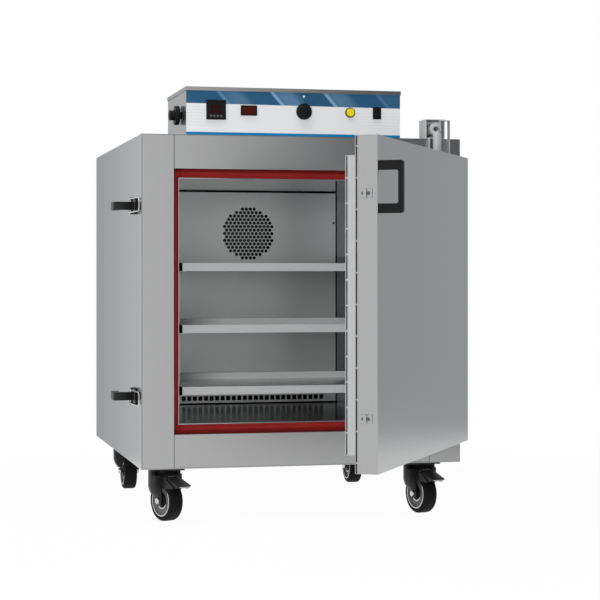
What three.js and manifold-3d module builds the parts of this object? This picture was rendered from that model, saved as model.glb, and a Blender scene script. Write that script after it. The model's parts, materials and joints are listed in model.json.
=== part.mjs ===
// Dry heat sterilizer: a floor-standing hot-air oven on swivel casters, shown with its door part open.
// Millimetres, +Z up. X runs to the right along the front, Y runs from the front to the back.
// Each piece is built about its own seat and placed by groups. The origin is under the middle of the
// whole oven with its door open, on the floor.
import * as THREE from 'three';
import { mergeVertices } from 'three/addons/utils/BufferGeometryUtils.js';
import Module from 'manifold-3d';

const wasm = await Module();
wasm.setup();

// Clearances and cutting
const fitGap = 0.3;
const seamGap = 1;
const cutOverrun = 4;

// Cabinet casing
const cabinetWidth = 808;
const cabinetHeight = 813;
const cabinetDepth = 927;
const groundClearance = 130;
const casingSheet = 1.5;
const basePlate = 2;
const columnWidth = 80;
const railHeight = 83.3;
const foldReturn = 25;
const louvreCount = 8;
const louvreLength = 180;
const louvreSpread = 224;
const louvreHeight = 6;
const louvrePitch = 18;
const louvreTopMargin = 150;

// Chamber
const sealBand = 21.5;
const recessDepth = 58;
const returnDepth = 70;
const baffleSetback = 242;
const plenumDepth = 60;
const linerSheet = 1.2;
const insulationFront = 72;
const insulationBackWall = 75;

// Door seal
const sealSetback = 2.5;
const sealBase = 6;
const sealCrown = 13;
const sealCrownWidth = 9;

// Rear air baffle with its fan grille and bottom outlet row
const baffleSheet = 1.5;
const baffleStrip = 42.5;
const baffleSideGap = 4;
const baffleEndGap = 3.5;
const bafflePostRadius = 5;
const bafflePostInset = 11;
const bafflePostSpread = 430;
const fanDrop = 119.8;
const grillePitch = 11.4;
const grilleHoleRadius = 4.4;
const grilleRowCounts = [4, 7, 10, 11, 12, 13, 12, 13, 12, 13, 12, 11, 10, 7, 4];
const outletMargin = 48;
const outletRows = 2;
const outletRowPitch = 16.5;
const outletPitch = 16;
const outletWidth = 11.5;
const outletHeight = 13;
const outletCentreHeight = 16.3;

// Shelves and their racks
const shelfCount = 3;
const shelfTopRoom = 227.6;
const lowestShelfHeight = 69.8;
const shelfSideGap = 9.5;
const shelfLip = 20;
const shelfSheet = 1.2;
const shelfFront = 62;
const shelfBackGap = 13;
const rackOffset = 5.5;
const rackSheet = 1.5;
const rackLedge = 12;
const rackFront = 80;
const rackBackGap = 10;
const rackMargin = 24;

// Circulation fan and heater
const impellerRadius = 72;
const impellerDepth = 40;
const impellerFrontGap = 8;
const impellerDisc = 2;
const bladeCount = 12;
const bladeSheet = 2;
const bladeInnerRadius = 44;
const bladeLean = 0.5;
const hubRadius = 12;
const shaftRadius = 6;
const shaftHole = 9;
const motorRadius = 46;
const motorLength = 84;
const motorFlange = 130;
const motorFlangeThickness = 4;
const motorFlangeCorner = 11.5;
const motorShaftReach = 20;
const heaterRadius = 96;
const heaterTube = 4;
const heaterLegSpread = 60;
const heaterLegReach = 22;

// Control box
const controlLeft = 110;
const controlRight = 157.3;
const controlDepth = 285;
const controlHeight = 107;
const controlSheet = 1.5;
const lidHeight = 9.7;
const lidOverhang = 2;
const fasciaThickness = 3;
const controlRow = 60.5;
const controllerPlace = 73;
const controllerSize = 48;
const controllerBezel = 5;
const controllerNeck = 44.5;
const controllerDepth = 62;
const controllerRim = 3;
const instrumentCorner = 1.5;
const controllerFaceInset = 1.5;
const displayPlace = 154.7;
const displayWidth = 40.5;
const displayHeight = 25;
const displayBezel = 4;
const displayNeckInset = 2.5;
const displayDepth = 24;
const displayRim = 3;
const displayFaceInset = 1;
const knobOffset = 23.2;
const knobRadius = 19.8;
const knobSkirt = 5;
const knobHeight = 17;
const knobRidgeWidth = 11;
const knobRidgeCorner = 3.7;
const knobStep = 0.6;
const knobWaist = 14.5;
const knobShaftRadius = 3;
const knobShaftLength = 18;
const buttonInset = 129.3;
const buttonBezelRadius = 12.5;
const buttonBezelHeight = 3;
const buttonLensRadius = 10.6;
const buttonLensProud = 5;
const buttonLensEdge = 1.7;
const buttonLensCrown = 8;
const buttonTravel = 3;
const buttonNeckRadius = 11;
const buttonBodyLength = 34;
const buttonStem = 14;
const rockerInset = 60.2;
const rockerWidth = 21;
const rockerHeight = 30;
const rockerFrameProud = 2;
const rockerFrameWall = 2.4;
const rockerBodyDepth = 22;
const rockerThrow = 9;
const rockerProud = 3.5;
const rockerPivotDepth = 3;
const rockerSink = 9;
const rockerEndGap = 1.3;

// Mains inlet gland on the box's left side
const glandDistance = 90;
const glandHeight = 53;
const glandNeckRadius = 9;
const glandNeck = 3.5;
const glandDiscRadius = 24;
const glandDisc = 11.5;
const glandStubRadius = 12.5;
const glandStub = 13;
const glandBore = 6;

// Vent on the front right of the top
const ventInset = 40;
const ventWidth = 50;
const ventDepth = 57;
const ventHeight = 49;
const ventSheet = 1.5;
const ventBodyRadius = 15.5;
const ventBodyHeight = 24.3;
const ventBodyProud = 6;
const ventTubeLap = 5;
const ventBoreRadius = 6.5;
const ventBoreDepth = 34;
const ventTubeRadius = 11.5;
const ventTubeDistance = 14;
const ventTubeOffset = 0.5;
const ventStrapInset = 4.5;
const ventStrapOutset = 5.2;
const ventStrapDepth = 27;
const ventShortLegDepth = 16;
const ventStrapRise = 45;
const ventHookReach = 25;
const ventHookDrop = 28;
const ventHookClear = 8;
const aboveDoorGap = 4.5;

// Door
const doorOpenAngle = 57.95;
const doorLatchInset = 2;
const doorBottom = 56.7;
const doorTopInset = 49.5;
const doorThickness = 50;
const doorStandOff = 4;
const doorSheet = 1.5;
const pivotInset = 17;
const pivotDistance = 30;
const pivotEdge = 14;
const plugSideClearance = 5;
const plugEndClearance = 2.2;
const plugDepth = 47;
const doorSlotCount = 10;
const doorSlotHeight = 3;
const doorSlotBridge = 3;
const doorSlotInset = 0.2;
const doorEndSlot = 21.4;
const plugEndSlot = 47;

// Door handle
const handleTopInset = 53.5;
const handleHeight = 110;
const handleWidth = 12;
const handleProud = 53.2;
const handleLeg = 20;
const handleGrip = 10.3;
const handleEdgeInset = 0.5;
const handleOuterRadius = 5;
const handleInnerRadius = 5;

// Hinge brackets
const bracketPlate = 3;
const bracketHalfWidth = 14;
const bracketRadius = 13;
const pinRadius = 5;
const pinLength = 12;
const pinClearance = 0.5;

// Side latches and their keepers
const latchLowInset = 115.3;
const latchHighInset = 121.9;
const latchSetback = 100;
const latchHeight = 41;
const latchPlate = 2.5;
const latchPlateFront = 22;
const latchPlateBack = 26;
const latchEarHeight = 5;
const latchEarThickness = 2;
const latchEarRadius = 7;
const latchEarFoot = 14;
const latchEarNose = 3.5;
const latchPivotRise = 9;
const latchPinRadius = 2.5;
const leverHeight = 20;
const leverArm = 12;
const leverReach = 55;
const leverGrip = 18;
const leverGripLength = 58;
const leverCorner = 6;
const leverEyeRadius = 5.5;
const bailPivotRise = 8;
const bailPivotSetback = 2;
const bailWire = 1.9;
const bailHeight = 36;
const bailReach = 135;
const bailFrontCorner = 12;
const bailRearCorner = 4;
const bailLean = 3.2;
const keeperHeight = 19;
const keeperWidth = 30;
const keeperPlate = 2;
const keeperHook = 5;
const keeperHookWidth = 7;
const keeperSetback = 27;

// Casters
const casterLeftInset = 65.5;
const casterRightInset = 91.5;
const casterFrontInset = 46;
const casterRearInset = 210;
const casterPlateWidth = 85;
const casterPlateLength = 82;
const casterPlateThickness = 4;
const casterPlateCorner = 5;
const swivelTopRadius = 30;
const swivelBottomRadius = 22;
const swivelHeight = 12;
const kingpinRadius = 7;
const kingpinEnd = 4;
const forkPlate = 3;
const forkSideGap = 2;
const forkPotRadius = 42;
const forkPotWall = 10;
const forkPotTop = 124.4;
const forkPotSplit = 5;
const forkFront = 16;
const forkShoulder = 84;
const forkKnee = 71;
const forkKneeRadius = 38;
const forkHem = 60;
const forkHemRadius = 30;
const forkEndRadius = 12;
const forkHornReach = 68;
const forkHornStart = 22;
const forkHornTop = 88;
const forkHornBottom = 83;
const wheelRadius = 50;
const wheelTread = 36;
const wheelShoulder = 5;
const casterTrail = 6;
const tyreThickness = 11;
const rimRecess = 5;
const rimSlope = 2.5;
const hubBossRadius = 14;
const axleRadius = 5;
const axleHeadRadius = 8;
const axleHead = 6;
const pedalPivotReach = 44;
const pedalPivotHeight = 92;
const pedalPinRadius = 3;
const pedalReach = 86;
const pedalHeel = 32;
const pedalHeelHeight = 110;
const pedalHeelFoot = 95;
const pedalTipHeight = 93;
const pedalTipEdge = 3;
const pedalJawReach = 78;
const pedalJawHeight = 86;
const pedalSideGap = 1;
const frontLeftSwivel = 23.5;
const frontRightSwivel = 15;

// Colours and finishes of the real surfaces
function finish(colour, roughness, metalness) {
  return new THREE.MeshStandardMaterial({ color: colour, roughness, metalness });
}

const brushedSteel = finish(0xb4b6b8, 0.38, 0.9);
const mirrorSteel = finish(0x8d8f91, 0.16, 1);
const plainSteel = finish(0xc6c8ca, 0.3, 1);
const redSilicone = finish(0x7a1c1e, 0.55, 0);
const mineralWool = finish(0xc8b88a, 0.95, 0);
const blackPlastic = finish(0x1c1c1e, 0.45, 0);
const blackEnamel = finish(0x2a2b2c, 0.5, 0.3);
const blackRubber = finish(0x1d1d1d, 0.8, 0);
const yellowLens = finish(0xe5d21c, 0.3, 0);
const darkRedWindow = finish(0x3a1214, 0.25, 0);
const paleFascia = finish(0xdcdedf, 0.5, 0);
const darkMetal = finish(0x4b4d50, 0.45, 0.8);

// Places that several pieces share
const halfWidth = cabinetWidth / 2;
const openingHalf = halfWidth - columnWidth;
const chamberWidth = cabinetWidth - 2 * (columnWidth + sealBand);
const chamberHeight = cabinetHeight - 2 * (railHeight + sealBand);
const chamberHalf = chamberWidth / 2;
const chamberFloor = railHeight + sealBand;
const chamberCeiling = chamberFloor + chamberHeight;
const baffleDistance = cabinetDepth - baffleSetback;
const baffleWidth = chamberWidth - 2 * (baffleStrip + baffleSideGap);
const shelfWidth = chamberWidth - 2 * shelfSideGap;
const shelfPitch = (chamberHeight - lowestShelfHeight - shelfTopRoom) / (shelfCount - 1);
const shelfBack = baffleDistance - shelfBackGap;
const linerBack = baffleDistance + baffleSheet + plenumDepth;
const insulationBack = linerBack + linerSheet + fitGap + insulationBackWall;
const fanHeight = chamberCeiling - fanDrop;
const casingInside = halfWidth - casingSheet;
const heaterLegAngle = Math.asin(heaterLegSpread / 2 / heaterRadius);
const heaterPlane = baffleDistance + baffleSheet + plenumDepth / 2;

// Solids
function toSolid(geometry) {
  const bare = geometry.index ? geometry.toNonIndexed() : geometry.clone();
  bare.deleteAttribute('normal');
  bare.deleteAttribute('uv');
  const merged = mergeVertices(bare);
  return new wasm.Manifold(new wasm.Mesh({
    numProp: 3,
    vertProperties: new Float32Array(merged.attributes.position.array),
    triVerts: new Uint32Array(merged.index.array),
  }));
}

function toGeometry(solid) {
  const mesh = solid.getMesh();
  const geometry = new THREE.BufferGeometry();
  geometry.setAttribute('position', new THREE.BufferAttribute(mesh.vertProperties, 3));
  geometry.setIndex(new THREE.BufferAttribute(mesh.triVerts, 1));
  geometry.computeVertexNormals();
  return geometry;
}

// A rectangular block between two corners
function block([x0, x1], [y0, y1], [z0, z1]) {
  const geometry = new THREE.BoxGeometry(x1 - x0, y1 - y0, z1 - z0);
  geometry.translate((x0 + x1) / 2, (y0 + y1) / 2, (z0 + z1) / 2);
  return toSolid(geometry);
}

// A flat outline pushed along one axis: an outline of (x, y) along z, (y, z) along x, (x, z) along y
const pushedAlong = {
  x: (from) => new THREE.Matrix4().set(0, 0, 1, from, 1, 0, 0, 0, 0, 1, 0, 0, 0, 0, 0, 1),
  y: (from, to) => new THREE.Matrix4().set(1, 0, 0, 0, 0, 0, -1, to, 0, 1, 0, 0, 0, 0, 0, 1),
  z: (from) => new THREE.Matrix4().makeTranslation(0, 0, from),
};

function prism(outline, axis, from, to, curveSegments = 6) {
  const depth = to - from;
  const geometry = new THREE.ExtrudeGeometry(outline, { depth, bevelEnabled: false, curveSegments });
  geometry.applyMatrix4(pushedAlong[axis](from, to));
  return toSolid(geometry);
}

// A flat sheet of that kind with holes punched through it
function punched(outline, holes, axis, from, to, curveSegments = 3) {
  const punches = holes.map((hole) => prism(hole, axis, from - cutOverrun, to + cutOverrun, curveSegments));
  return prism(outline, axis, from, to).subtract(punches.reduce((all, punch) => all.add(punch)));
}

// A round bar or hole along one axis through a point of the other two, in the order of prism's outlines
function rod(axis, radius, from, to, [u, v], sides = 24) {
  const geometry = new THREE.CylinderGeometry(radius, radius, to - from, sides);
  const middle = (from + to) / 2;
  if (axis === 'x') geometry.rotateZ(Math.PI / 2).translate(middle, u, v);
  if (axis === 'y') geometry.translate(u, middle, v);
  if (axis === 'z') geometry.rotateX(Math.PI / 2).translate(u, v, middle);
  return toSolid(geometry);
}

// A profile of (radius, height) turned about z, then laid along an axis from a place
function turned(profile, sides = 32) {
  const points = profile.map(([radius, height]) => new THREE.Vector2(radius, height));
  return new THREE.LatheGeometry(points, sides).rotateX(Math.PI / 2);
}

function outlineOf(points) {
  return new THREE.Shape(points.map(([u, v]) => new THREE.Vector2(u, v)));
}

function rectangle(width, height, [u, v] = [0, 0], radius = 0) {
  const [left, low] = [u - width / 2, v - height / 2];
  const [right, high] = [left + width, low + height];
  if (radius === 0) return outlineOf([[left, low], [right, low], [right, high], [left, high]]);
  const shape = new THREE.Shape();
  shape.absarc(right - radius, high - radius, radius, 0, Math.PI / 2);
  shape.absarc(left + radius, high - radius, radius, Math.PI / 2, Math.PI);
  shape.absarc(left + radius, low + radius, radius, Math.PI, 3 * Math.PI / 2);
  shape.absarc(right - radius, low + radius, radius, 3 * Math.PI / 2, 2 * Math.PI);
  return shape;
}

// The outline of a folded sheet: the points walk along one face and the metal lies on their left
function foldedSheet(points, thickness) {
  const walk = points.map(([u, v]) => new THREE.Vector2(u, v));
  const lefts = walk.slice(1).map((point, i) => {
    const along = point.clone().sub(walk[i]).normalize();
    return new THREE.Vector2(-along.y, along.x);
  });
  const inner = walk.map((point, i) => {
    const before = lefts[Math.max(i - 1, 0)];
    const after = lefts[Math.min(i, lefts.length - 1)];
    const mitre = before.clone().add(after).divideScalar(1 + before.dot(after));
    return point.clone().addScaledVector(mitre, thickness);
  });
  return new THREE.Shape([...walk, ...inner.reverse()]);
}

function mirrorAcross(points) {
  return points.map(([u, v]) => [-u, v]).reverse();
}

// The named pieces
const oven = new THREE.Group();

function piece(name, shape, material, parent = oven) {
  const mesh = new THREE.Mesh(shape.isBufferGeometry ? shape : toGeometry(shape), material);
  mesh.name = name;
  parent.add(mesh);
  return mesh;
}

function groupAt(parent, x, y, z) {
  const group = new THREE.Group();
  group.position.set(x, y, z);
  parent.add(group);
  return group;
}

// Everything above the casters hangs in a group whose zero is the cabinet's underside
const cabinet = groupAt(oven, 0, 0, groundClearance);

// Casing: one sheet folded over the left side, the top and the right side
function cabinetWrap() {
  const walk = [[halfWidth, 0], [halfWidth, cabinetHeight], [-halfWidth, cabinetHeight], [-halfWidth, 0]];
  return prism(foldedSheet(walk, casingSheet), 'y', 0, cabinetDepth);
}

function basePanel() {
  const side = casingInside - fitGap;
  return block([-side, side], [0, cabinetDepth - casingSheet - fitGap], [0, basePlate]);
}

// Rear panel with a bank of ventilation slots behind the fan motor
function rearPanel() {
  const side = casingInside - fitGap;
  const [low, high] = [basePlate + fitGap, cabinetHeight - casingSheet - fitGap];
  const outline = rectangle(2 * side, high - low, [0, (low + high) / 2]);
  const slots = [];
  for (let i = 0; i < louvreCount; i += 1) {
    const height = high - louvreTopMargin - i * louvrePitch;
    for (const place of [-louvreSpread / 2, louvreSpread / 2]) {
      slots.push(rectangle(louvreLength, louvreHeight, [place, height]));
    }
  }
  return punched(outline, slots, 'y', cabinetDepth - casingSheet, cabinetDepth);
}

// Front columns run the full height, folded back behind the casing and into the door recess
function frontColumn(side) {
  const outer = casingInside - fitGap;
  const base = basePlate + fitGap;
  const walk = [[-outer, foldReturn], [-outer, 0], [-openingHalf, 0], [-openingHalf, returnDepth]];
  const outline = foldedSheet(side < 0 ? walk : mirrorAcross(walk), casingSheet);
  return prism(outline, 'z', base, cabinetHeight - casingSheet - fitGap);
}

function topRail() {
  const high = cabinetHeight - casingSheet - fitGap;
  const low = cabinetHeight - railHeight;
  const walk = [[foldReturn, high], [0, high], [0, low], [returnDepth, low]];
  return prism(foldedSheet(walk, casingSheet), 'x', -openingHalf + seamGap, openingHalf - seamGap);
}

function bottomRail() {
  const low = basePlate + fitGap;
  const walk = [[returnDepth, railHeight], [0, railHeight], [0, low], [foldReturn, low]];
  return prism(foldedSheet(walk, casingSheet), 'x', -openingHalf + seamGap, openingHalf - seamGap);
}

// Chamber liner: a steel box open to the front, with a flange for the seal and an air strip on each side
function chamberLiner() {
  const outer = chamberHalf + linerSheet;
  const flangeHalf = openingHalf - seamGap - fitGap;
  const flangeLow = railHeight + fitGap;
  const flangeHigh = cabinetHeight - railHeight - fitGap;
  const shell = block([-outer, outer], [recessDepth, linerBack + linerSheet],
    [chamberFloor - linerSheet, chamberCeiling + linerSheet]);
  const flange = block([-flangeHalf, flangeHalf], [recessDepth, recessDepth + linerSheet],
    [flangeLow, flangeHigh]);
  const hollow = block([-chamberHalf, chamberHalf], [recessDepth - cutOverrun, linerBack],
    [chamberFloor, chamberCeiling]);
  let liner = shell.add(flange).subtract(hollow);
  const stripEdge = baffleWidth / 2 + baffleSideGap;
  for (const side of [-1, 1]) {
    const span = [side * stripEdge, side * (chamberHalf + linerSheet / 2)].sort((a, b) => a - b);
    liner = liner.add(block(span, [baffleDistance, baffleDistance + linerSheet],
      [chamberFloor - linerSheet / 2, chamberCeiling + linerSheet / 2]));
  }
  return cutForFan(liner, linerBack - cutOverrun, linerBack + linerSheet + cutOverrun);
}

function heaterLegPlaces() {
  const drop = heaterRadius * Math.cos(heaterLegAngle);
  return [-1, 1].map((side) => [side * heaterLegSpread / 2, fanHeight - drop]);
}

// The shaft hole and the heater's two leg holes through a wall
function cutForFan(wall, from, to) {
  let cut = wall.subtract(rod('y', shaftHole, from, to, [0, fanHeight], 16));
  for (const place of heaterLegPlaces()) {
    cut = cut.subtract(rod('y', heaterTube + fitGap, from, to, place, 12));
  }
  return cut;
}

// Mineral wool between the liner and the casing, open to the front and cut for the shaft and heater
function insulation() {
  const side = casingInside - fitGap - basePlate - fitGap;
  const cavity = chamberHalf + linerSheet + fitGap;
  const wool = block([-side, side], [insulationFront, insulationBack],
    [basePlate + fitGap, cabinetHeight - casingSheet - fitGap]);
  const room = block([-cavity, cavity], [insulationFront - cutOverrun, linerBack + linerSheet + fitGap],
    [chamberFloor - linerSheet - fitGap, chamberCeiling + linerSheet + fitGap]);
  return cutForFan(wool.subtract(room), linerBack, insulationBack + cutOverrun);
}

// Silicone seal round the chamber's mouth: a flat band with a raised crown along its middle
function doorSeal() {
  const outerHalf = openingHalf - seamGap - fitGap;
  const [low, high] = [railHeight + fitGap, cabinetHeight - railHeight - fitGap];
  const middle = (low + high) / 2;
  const band = (outerHalf - chamberHalf - sealSetback - sealCrownWidth) / 2;
  const face = recessDepth - fitGap;
  const ring = (inset, depth) => {
    const outline = rectangle(2 * (outerHalf - inset), high - low - 2 * inset, [0, middle]);
    const clear = sealSetback + inset;
    outline.holes.push(rectangle(chamberWidth + 2 * clear, chamberHeight + 2 * clear, [0, middle]));
    return prism(outline, 'y', face - depth, face);
  };
  return ring(0, sealBase).add(ring(band, sealCrown));
}

// Rear baffle: fan grille of round holes, a row of square outlets along the foot, and four posts behind
function airBaffle() {
  const outline = rectangle(baffleWidth, chamberHeight - 2 * baffleEndGap,
    [0, (chamberFloor + chamberCeiling) / 2]);
  const rowPitch = grillePitch * Math.sqrt(3) / 2;
  const holes = [];
  grilleRowCounts.forEach((count, row) => {
    const height = fanHeight + ((grilleRowCounts.length - 1) / 2 - row) * rowPitch;
    for (let i = 0; i < count; i += 1) {
      const place = (i - (count - 1) / 2) * grillePitch;
      holes.push(new THREE.Shape().absarc(place, height, grilleHoleRadius, 0, 2 * Math.PI));
    }
  });
  const outletCount = Math.floor((baffleWidth - 2 * outletMargin) / outletPitch) + 1;
  for (let row = 0; row < outletRows; row += 1) {
    const height = chamberFloor + outletCentreHeight + row * outletRowPitch;
    for (let i = row; i < outletCount; i += 1) {
      holes.push(rectangle(outletWidth, outletHeight, [(i - (outletCount - 1) / 2) * outletPitch, height]));
    }
  }
  let baffle = punched(outline, holes, 'y', baffleDistance, baffleDistance + baffleSheet);
  const across = baffleWidth / 2 - bafflePostInset;
  const middle = (chamberFloor + chamberCeiling) / 2;
  for (const side of [-1, 1]) {
    for (const end of [-1, 1]) {
      const place = [side * across, middle + end * bafflePostSpread / 2];
      const [from, to] = [baffleDistance + baffleSheet / 2, linerBack - fitGap];
      baffle = baffle.add(rod('y', bafflePostRadius, from, to, place, 12));
    }
  }
  return baffle;
}

// Shelf tray with upturned lips all round
function shelfTray() {
  const depth = shelfBack - shelfFront;
  const middle = [0, (shelfFront + shelfBack) / 2];
  const tray = prism(rectangle(shelfWidth, depth, middle), 'z', 0, shelfLip);
  const inside = rectangle(shelfWidth - 2 * shelfSheet, depth - 2 * shelfSheet, middle);
  return tray.subtract(prism(inside, 'z', shelfSheet, shelfLip + cutOverrun));
}

function shelfHeight(level) {
  return chamberFloor + lowestShelfHeight + level * shelfPitch;
}

// Rack: a shallow channel on the liner wall with one ledge under each shelf
function shelfRack(side) {
  const wall = chamberHalf - fitGap;
  const [low, high] = [shelfHeight(0) - rackMargin, shelfHeight(shelfCount - 1) + shelfLip + rackMargin];
  const walk = [[-wall, low], [-wall + rackOffset, low], [-wall + rackOffset, high], [-wall, high]];
  const outline = foldedSheet(side < 0 ? walk : mirrorAcross(walk), rackSheet);
  let rack = prism(outline, 'y', rackFront, shelfBack - rackBackGap);
  for (let level = 0; level < shelfCount; level += 1) {
    const top = shelfHeight(level) - fitGap;
    const face = wall - rackOffset;
    const span = [side * (face + rackSheet / 2), side * (face - rackLedge)].sort((a, b) => a - b);
    rack = rack.add(block(span, [rackFront, shelfBack - rackBackGap], [top - rackSheet, top]));
  }
  return rack;
}

// Centrifugal fan wheel with leaning blades, its hub and the shaft that reaches into the motor
function fanImpeller() {
  const front = baffleDistance + baffleSheet + impellerFrontGap;
  const back = front + impellerDepth;
  const discFront = back - impellerDisc;
  let wheel = rod('y', impellerRadius, discFront, back, [0, 0], 28);
  wheel = wheel.add(rod('y', hubRadius, front + impellerDepth / 2, back, [0, 0], 16));
  const shaftEnd = motorFace() + motorShaftReach;
  wheel = wheel.add(rod('y', shaftRadius, back - impellerDisc / 2, shaftEnd, [0, 0], 16));
  const bladeChord = impellerRadius - bladeInnerRadius;
  for (let i = 0; i < bladeCount; i += 1) {
    const blade = new THREE.BoxGeometry(bladeChord, impellerDepth - impellerDisc / 2, bladeSheet);
    blade.rotateY(bladeLean);
    blade.translate((impellerRadius + bladeInnerRadius) / 2 - bladeSheet, 0, 0);
    blade.rotateY(i * 2 * Math.PI / bladeCount);
    blade.translate(0, front + (impellerDepth - impellerDisc / 2) / 2, 0);
    wheel = wheel.add(toSolid(blade));
  }
  return wheel;
}

function motorFace() {
  return insulationBack + fitGap;
}

// Fan motor: square flange against the rear wool, finned can and a bore for the shaft
function fanMotor() {
  const face = motorFace();
  const flange = rectangle(motorFlange, motorFlange, [0, 0], motorFlangeCorner);
  let motor = prism(flange, 'y', face, face + motorFlangeThickness, 2);
  motor = motor.add(rod('y', motorRadius, face + motorFlangeThickness / 2, face + motorLength, [0, 0], 28));
  const bore = rod('y', shaftRadius + fitGap, face - cutOverrun, face + motorShaftReach + fitGap, [0, 0], 16);
  return motor.subtract(bore);
}

// Tubular heater: a ring round the fan wheel with two legs out through the rear wall
function heaterElement() {
  const ring = new THREE.TorusGeometry(heaterRadius, heaterTube, 6, 28);
  ring.rotateX(Math.PI / 2);
  ring.translate(0, heaterPlane, fanHeight);
  let heater = toSolid(ring);
  for (const place of heaterLegPlaces()) {
    heater = heater.add(rod('y', heaterTube, heaterPlane, insulationBack + heaterLegReach, place, 12));
  }
  return heater;
}

piece('cabinet_wrap', cabinetWrap(), brushedSteel, cabinet);
piece('base_panel', basePanel(), brushedSteel, cabinet);
piece('rear_panel', rearPanel(), brushedSteel, cabinet);
piece('front_column_left', frontColumn(-1), brushedSteel, cabinet);
piece('front_column_right', frontColumn(1), brushedSteel, cabinet);
piece('top_rail', topRail(), brushedSteel, cabinet);
piece('bottom_rail', bottomRail(), brushedSteel, cabinet);
piece('chamber_liner', chamberLiner(), mirrorSteel, cabinet);
piece('insulation', insulation(), mineralWool, cabinet);
piece('door_seal', doorSeal(), redSilicone, cabinet);
piece('air_baffle', airBaffle(), brushedSteel, cabinet);
piece('shelf_rack_left', shelfRack(-1), plainSteel, cabinet);
piece('shelf_rack_right', shelfRack(1), plainSteel, cabinet);
['shelf_lower', 'shelf_middle', 'shelf_upper'].forEach((name, level) => {
  piece(name, shelfTray(), plainSteel, groupAt(cabinet, 0, 0, shelfHeight(level)));
});
const fanAxis = groupAt(cabinet, 0, 0, fanHeight);
piece('fan_impeller', fanImpeller(), plainSteel, fanAxis);
piece('fan_motor', fanMotor(), darkMetal, fanAxis);
piece('heater_element', heaterElement(), darkMetal, cabinet);

// Control box on the top, measured from the box's lower left front corner
const controlWidth = cabinetWidth - controlLeft - controlRight;
const controlBox = groupAt(cabinet, controlLeft - halfWidth, 0, cabinetHeight + fitGap);
const knobPlace = controlWidth / 2 + knobOffset;
const buttonPlace = controlWidth - buttonInset;
const rockerPlace = controlWidth - rockerInset;
const controlWallTop = controlHeight + lidHeight - controlSheet - fitGap;

function controlBoxBody() {
  const front = fasciaThickness + fitGap;
  const body = block([0, controlWidth], [front, controlDepth], [0, controlWallTop]);
  const room = block([controlSheet, controlWidth - controlSheet],
    [front - cutOverrun, controlDepth - controlSheet],
    [controlSheet, controlWallTop + cutOverrun]);
  return body.subtract(room);
}

// Lid: a shallow cap folded down outside the walls and the fascia
function controlBoxLid() {
  const [left, right, back] = [-lidOverhang, controlWidth + lidOverhang, controlDepth + lidOverhang];
  const top = controlHeight + lidHeight;
  const cap = block([left, right], [-lidOverhang, back], [controlHeight, top]);
  const room = block([left + controlSheet, right - controlSheet],
    [-lidOverhang + controlSheet, back - controlSheet],
    [controlHeight - cutOverrun, top - controlSheet]);
  return cap.subtract(room);
}

// Fascia plate with the cut-outs that the instruments pass through
function controlFascia() {
  const outline = rectangle(controlWidth, controlWallTop, [controlWidth / 2, controlWallTop / 2]);
  const neck = controllerNeck + 2 * fitGap;
  outline.holes.push(rectangle(neck, neck, [controllerPlace, controlRow]));
  const displayNeckWidth = displayWidth - 2 * displayNeckInset + 2 * fitGap;
  const displayNeckHeight = displayHeight - 2 * displayNeckInset + 2 * fitGap;
  outline.holes.push(rectangle(displayNeckWidth, displayNeckHeight, [displayPlace, controlRow]));
  const rockerHoleWidth = rockerWidth - rockerFrameWall + 2 * fitGap;
  const rockerHoleHeight = rockerHeight - rockerFrameWall + 2 * fitGap;
  outline.holes.push(rectangle(rockerHoleWidth, rockerHoleHeight, [rockerPlace, controlRow]));
  let fascia = prism(outline, 'y', 0, fasciaThickness);
  for (const [place, radius] of [[knobPlace, knobShaftRadius], [buttonPlace, buttonNeckRadius]]) {
    const hole = rod('y', radius + fitGap, -cutOverrun, fasciaThickness + cutOverrun, [place, controlRow]);
    fascia = fascia.subtract(hole);
  }
  return fascia;
}

// An instrument pushed in from the front: bezel with a sunken face, and its neck behind the panel
function panelInstrument(width, height, bezel, neckWidth, neckHeight, depth, rim, faceInset) {
  let body = prism(rectangle(width, height, [0, 0], instrumentCorner), 'y', -bezel, -fitGap, 2);
  body = body.add(block([-neckWidth / 2, neckWidth / 2], [-bezel / 2, depth],
    [-neckHeight / 2, neckHeight / 2]));
  const face = prism(rectangle(width - 2 * rim, height - 2 * rim), 'y', -bezel - cutOverrun,
    -bezel + faceInset);
  return body.subtract(face);
}

// Knob: skirt and waist turned about the shaft, with a straight finger ridge across
function selectorKnob() {
  const top = knobHeight - knobStep;
  const profile = [[0, fitGap], [knobRadius, fitGap], [knobRadius, knobSkirt],
    [knobWaist, knobSkirt + knobStep], [knobWaist, top], [0, top]];
  const skirt = toSolid(turned(profile, 28).rotateX(Math.PI / 2));
  const ridgeOutline = rectangle(knobRidgeWidth, 2 * knobRadius - knobStep, [0, 0], knobRidgeCorner);
  const ridge = prism(ridgeOutline, 'y', -knobHeight, -knobSkirt / 2);
  const shaft = rod('y', knobShaftRadius, -knobSkirt / 2, knobShaftLength, [0, 0], 16);
  return skirt.add(ridge).add(shaft);
}

// Push button housing: front ring, neck and switch body with a bore for the lens
function pushButtonBezel() {
  const bore = buttonLensRadius - fitGap;
  let housing = rod('y', buttonBezelRadius, -buttonBezelHeight, -fitGap, [0, 0], 28);
  housing = housing.add(rod('y', buttonNeckRadius, -buttonBezelHeight / 2, buttonBodyLength, [0, 0], 32));
  housing = housing.subtract(rod('y', bore, -buttonBezelHeight - cutOverrun, buttonStem + buttonTravel,
    [0, 0], 32));
  return housing;
}

function pushButton() {
  const radius = buttonLensRadius - 2 * fitGap;
  const length = buttonLensProud + buttonStem;
  const lens = turned([[0, 0], [radius, 0], [radius, length - buttonLensEdge], [buttonLensCrown, length],
    [0, length]]);
  return toSolid(lens.rotateX(Math.PI / 2).translate(0, buttonStem - buttonBezelHeight, 0));
}

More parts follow.
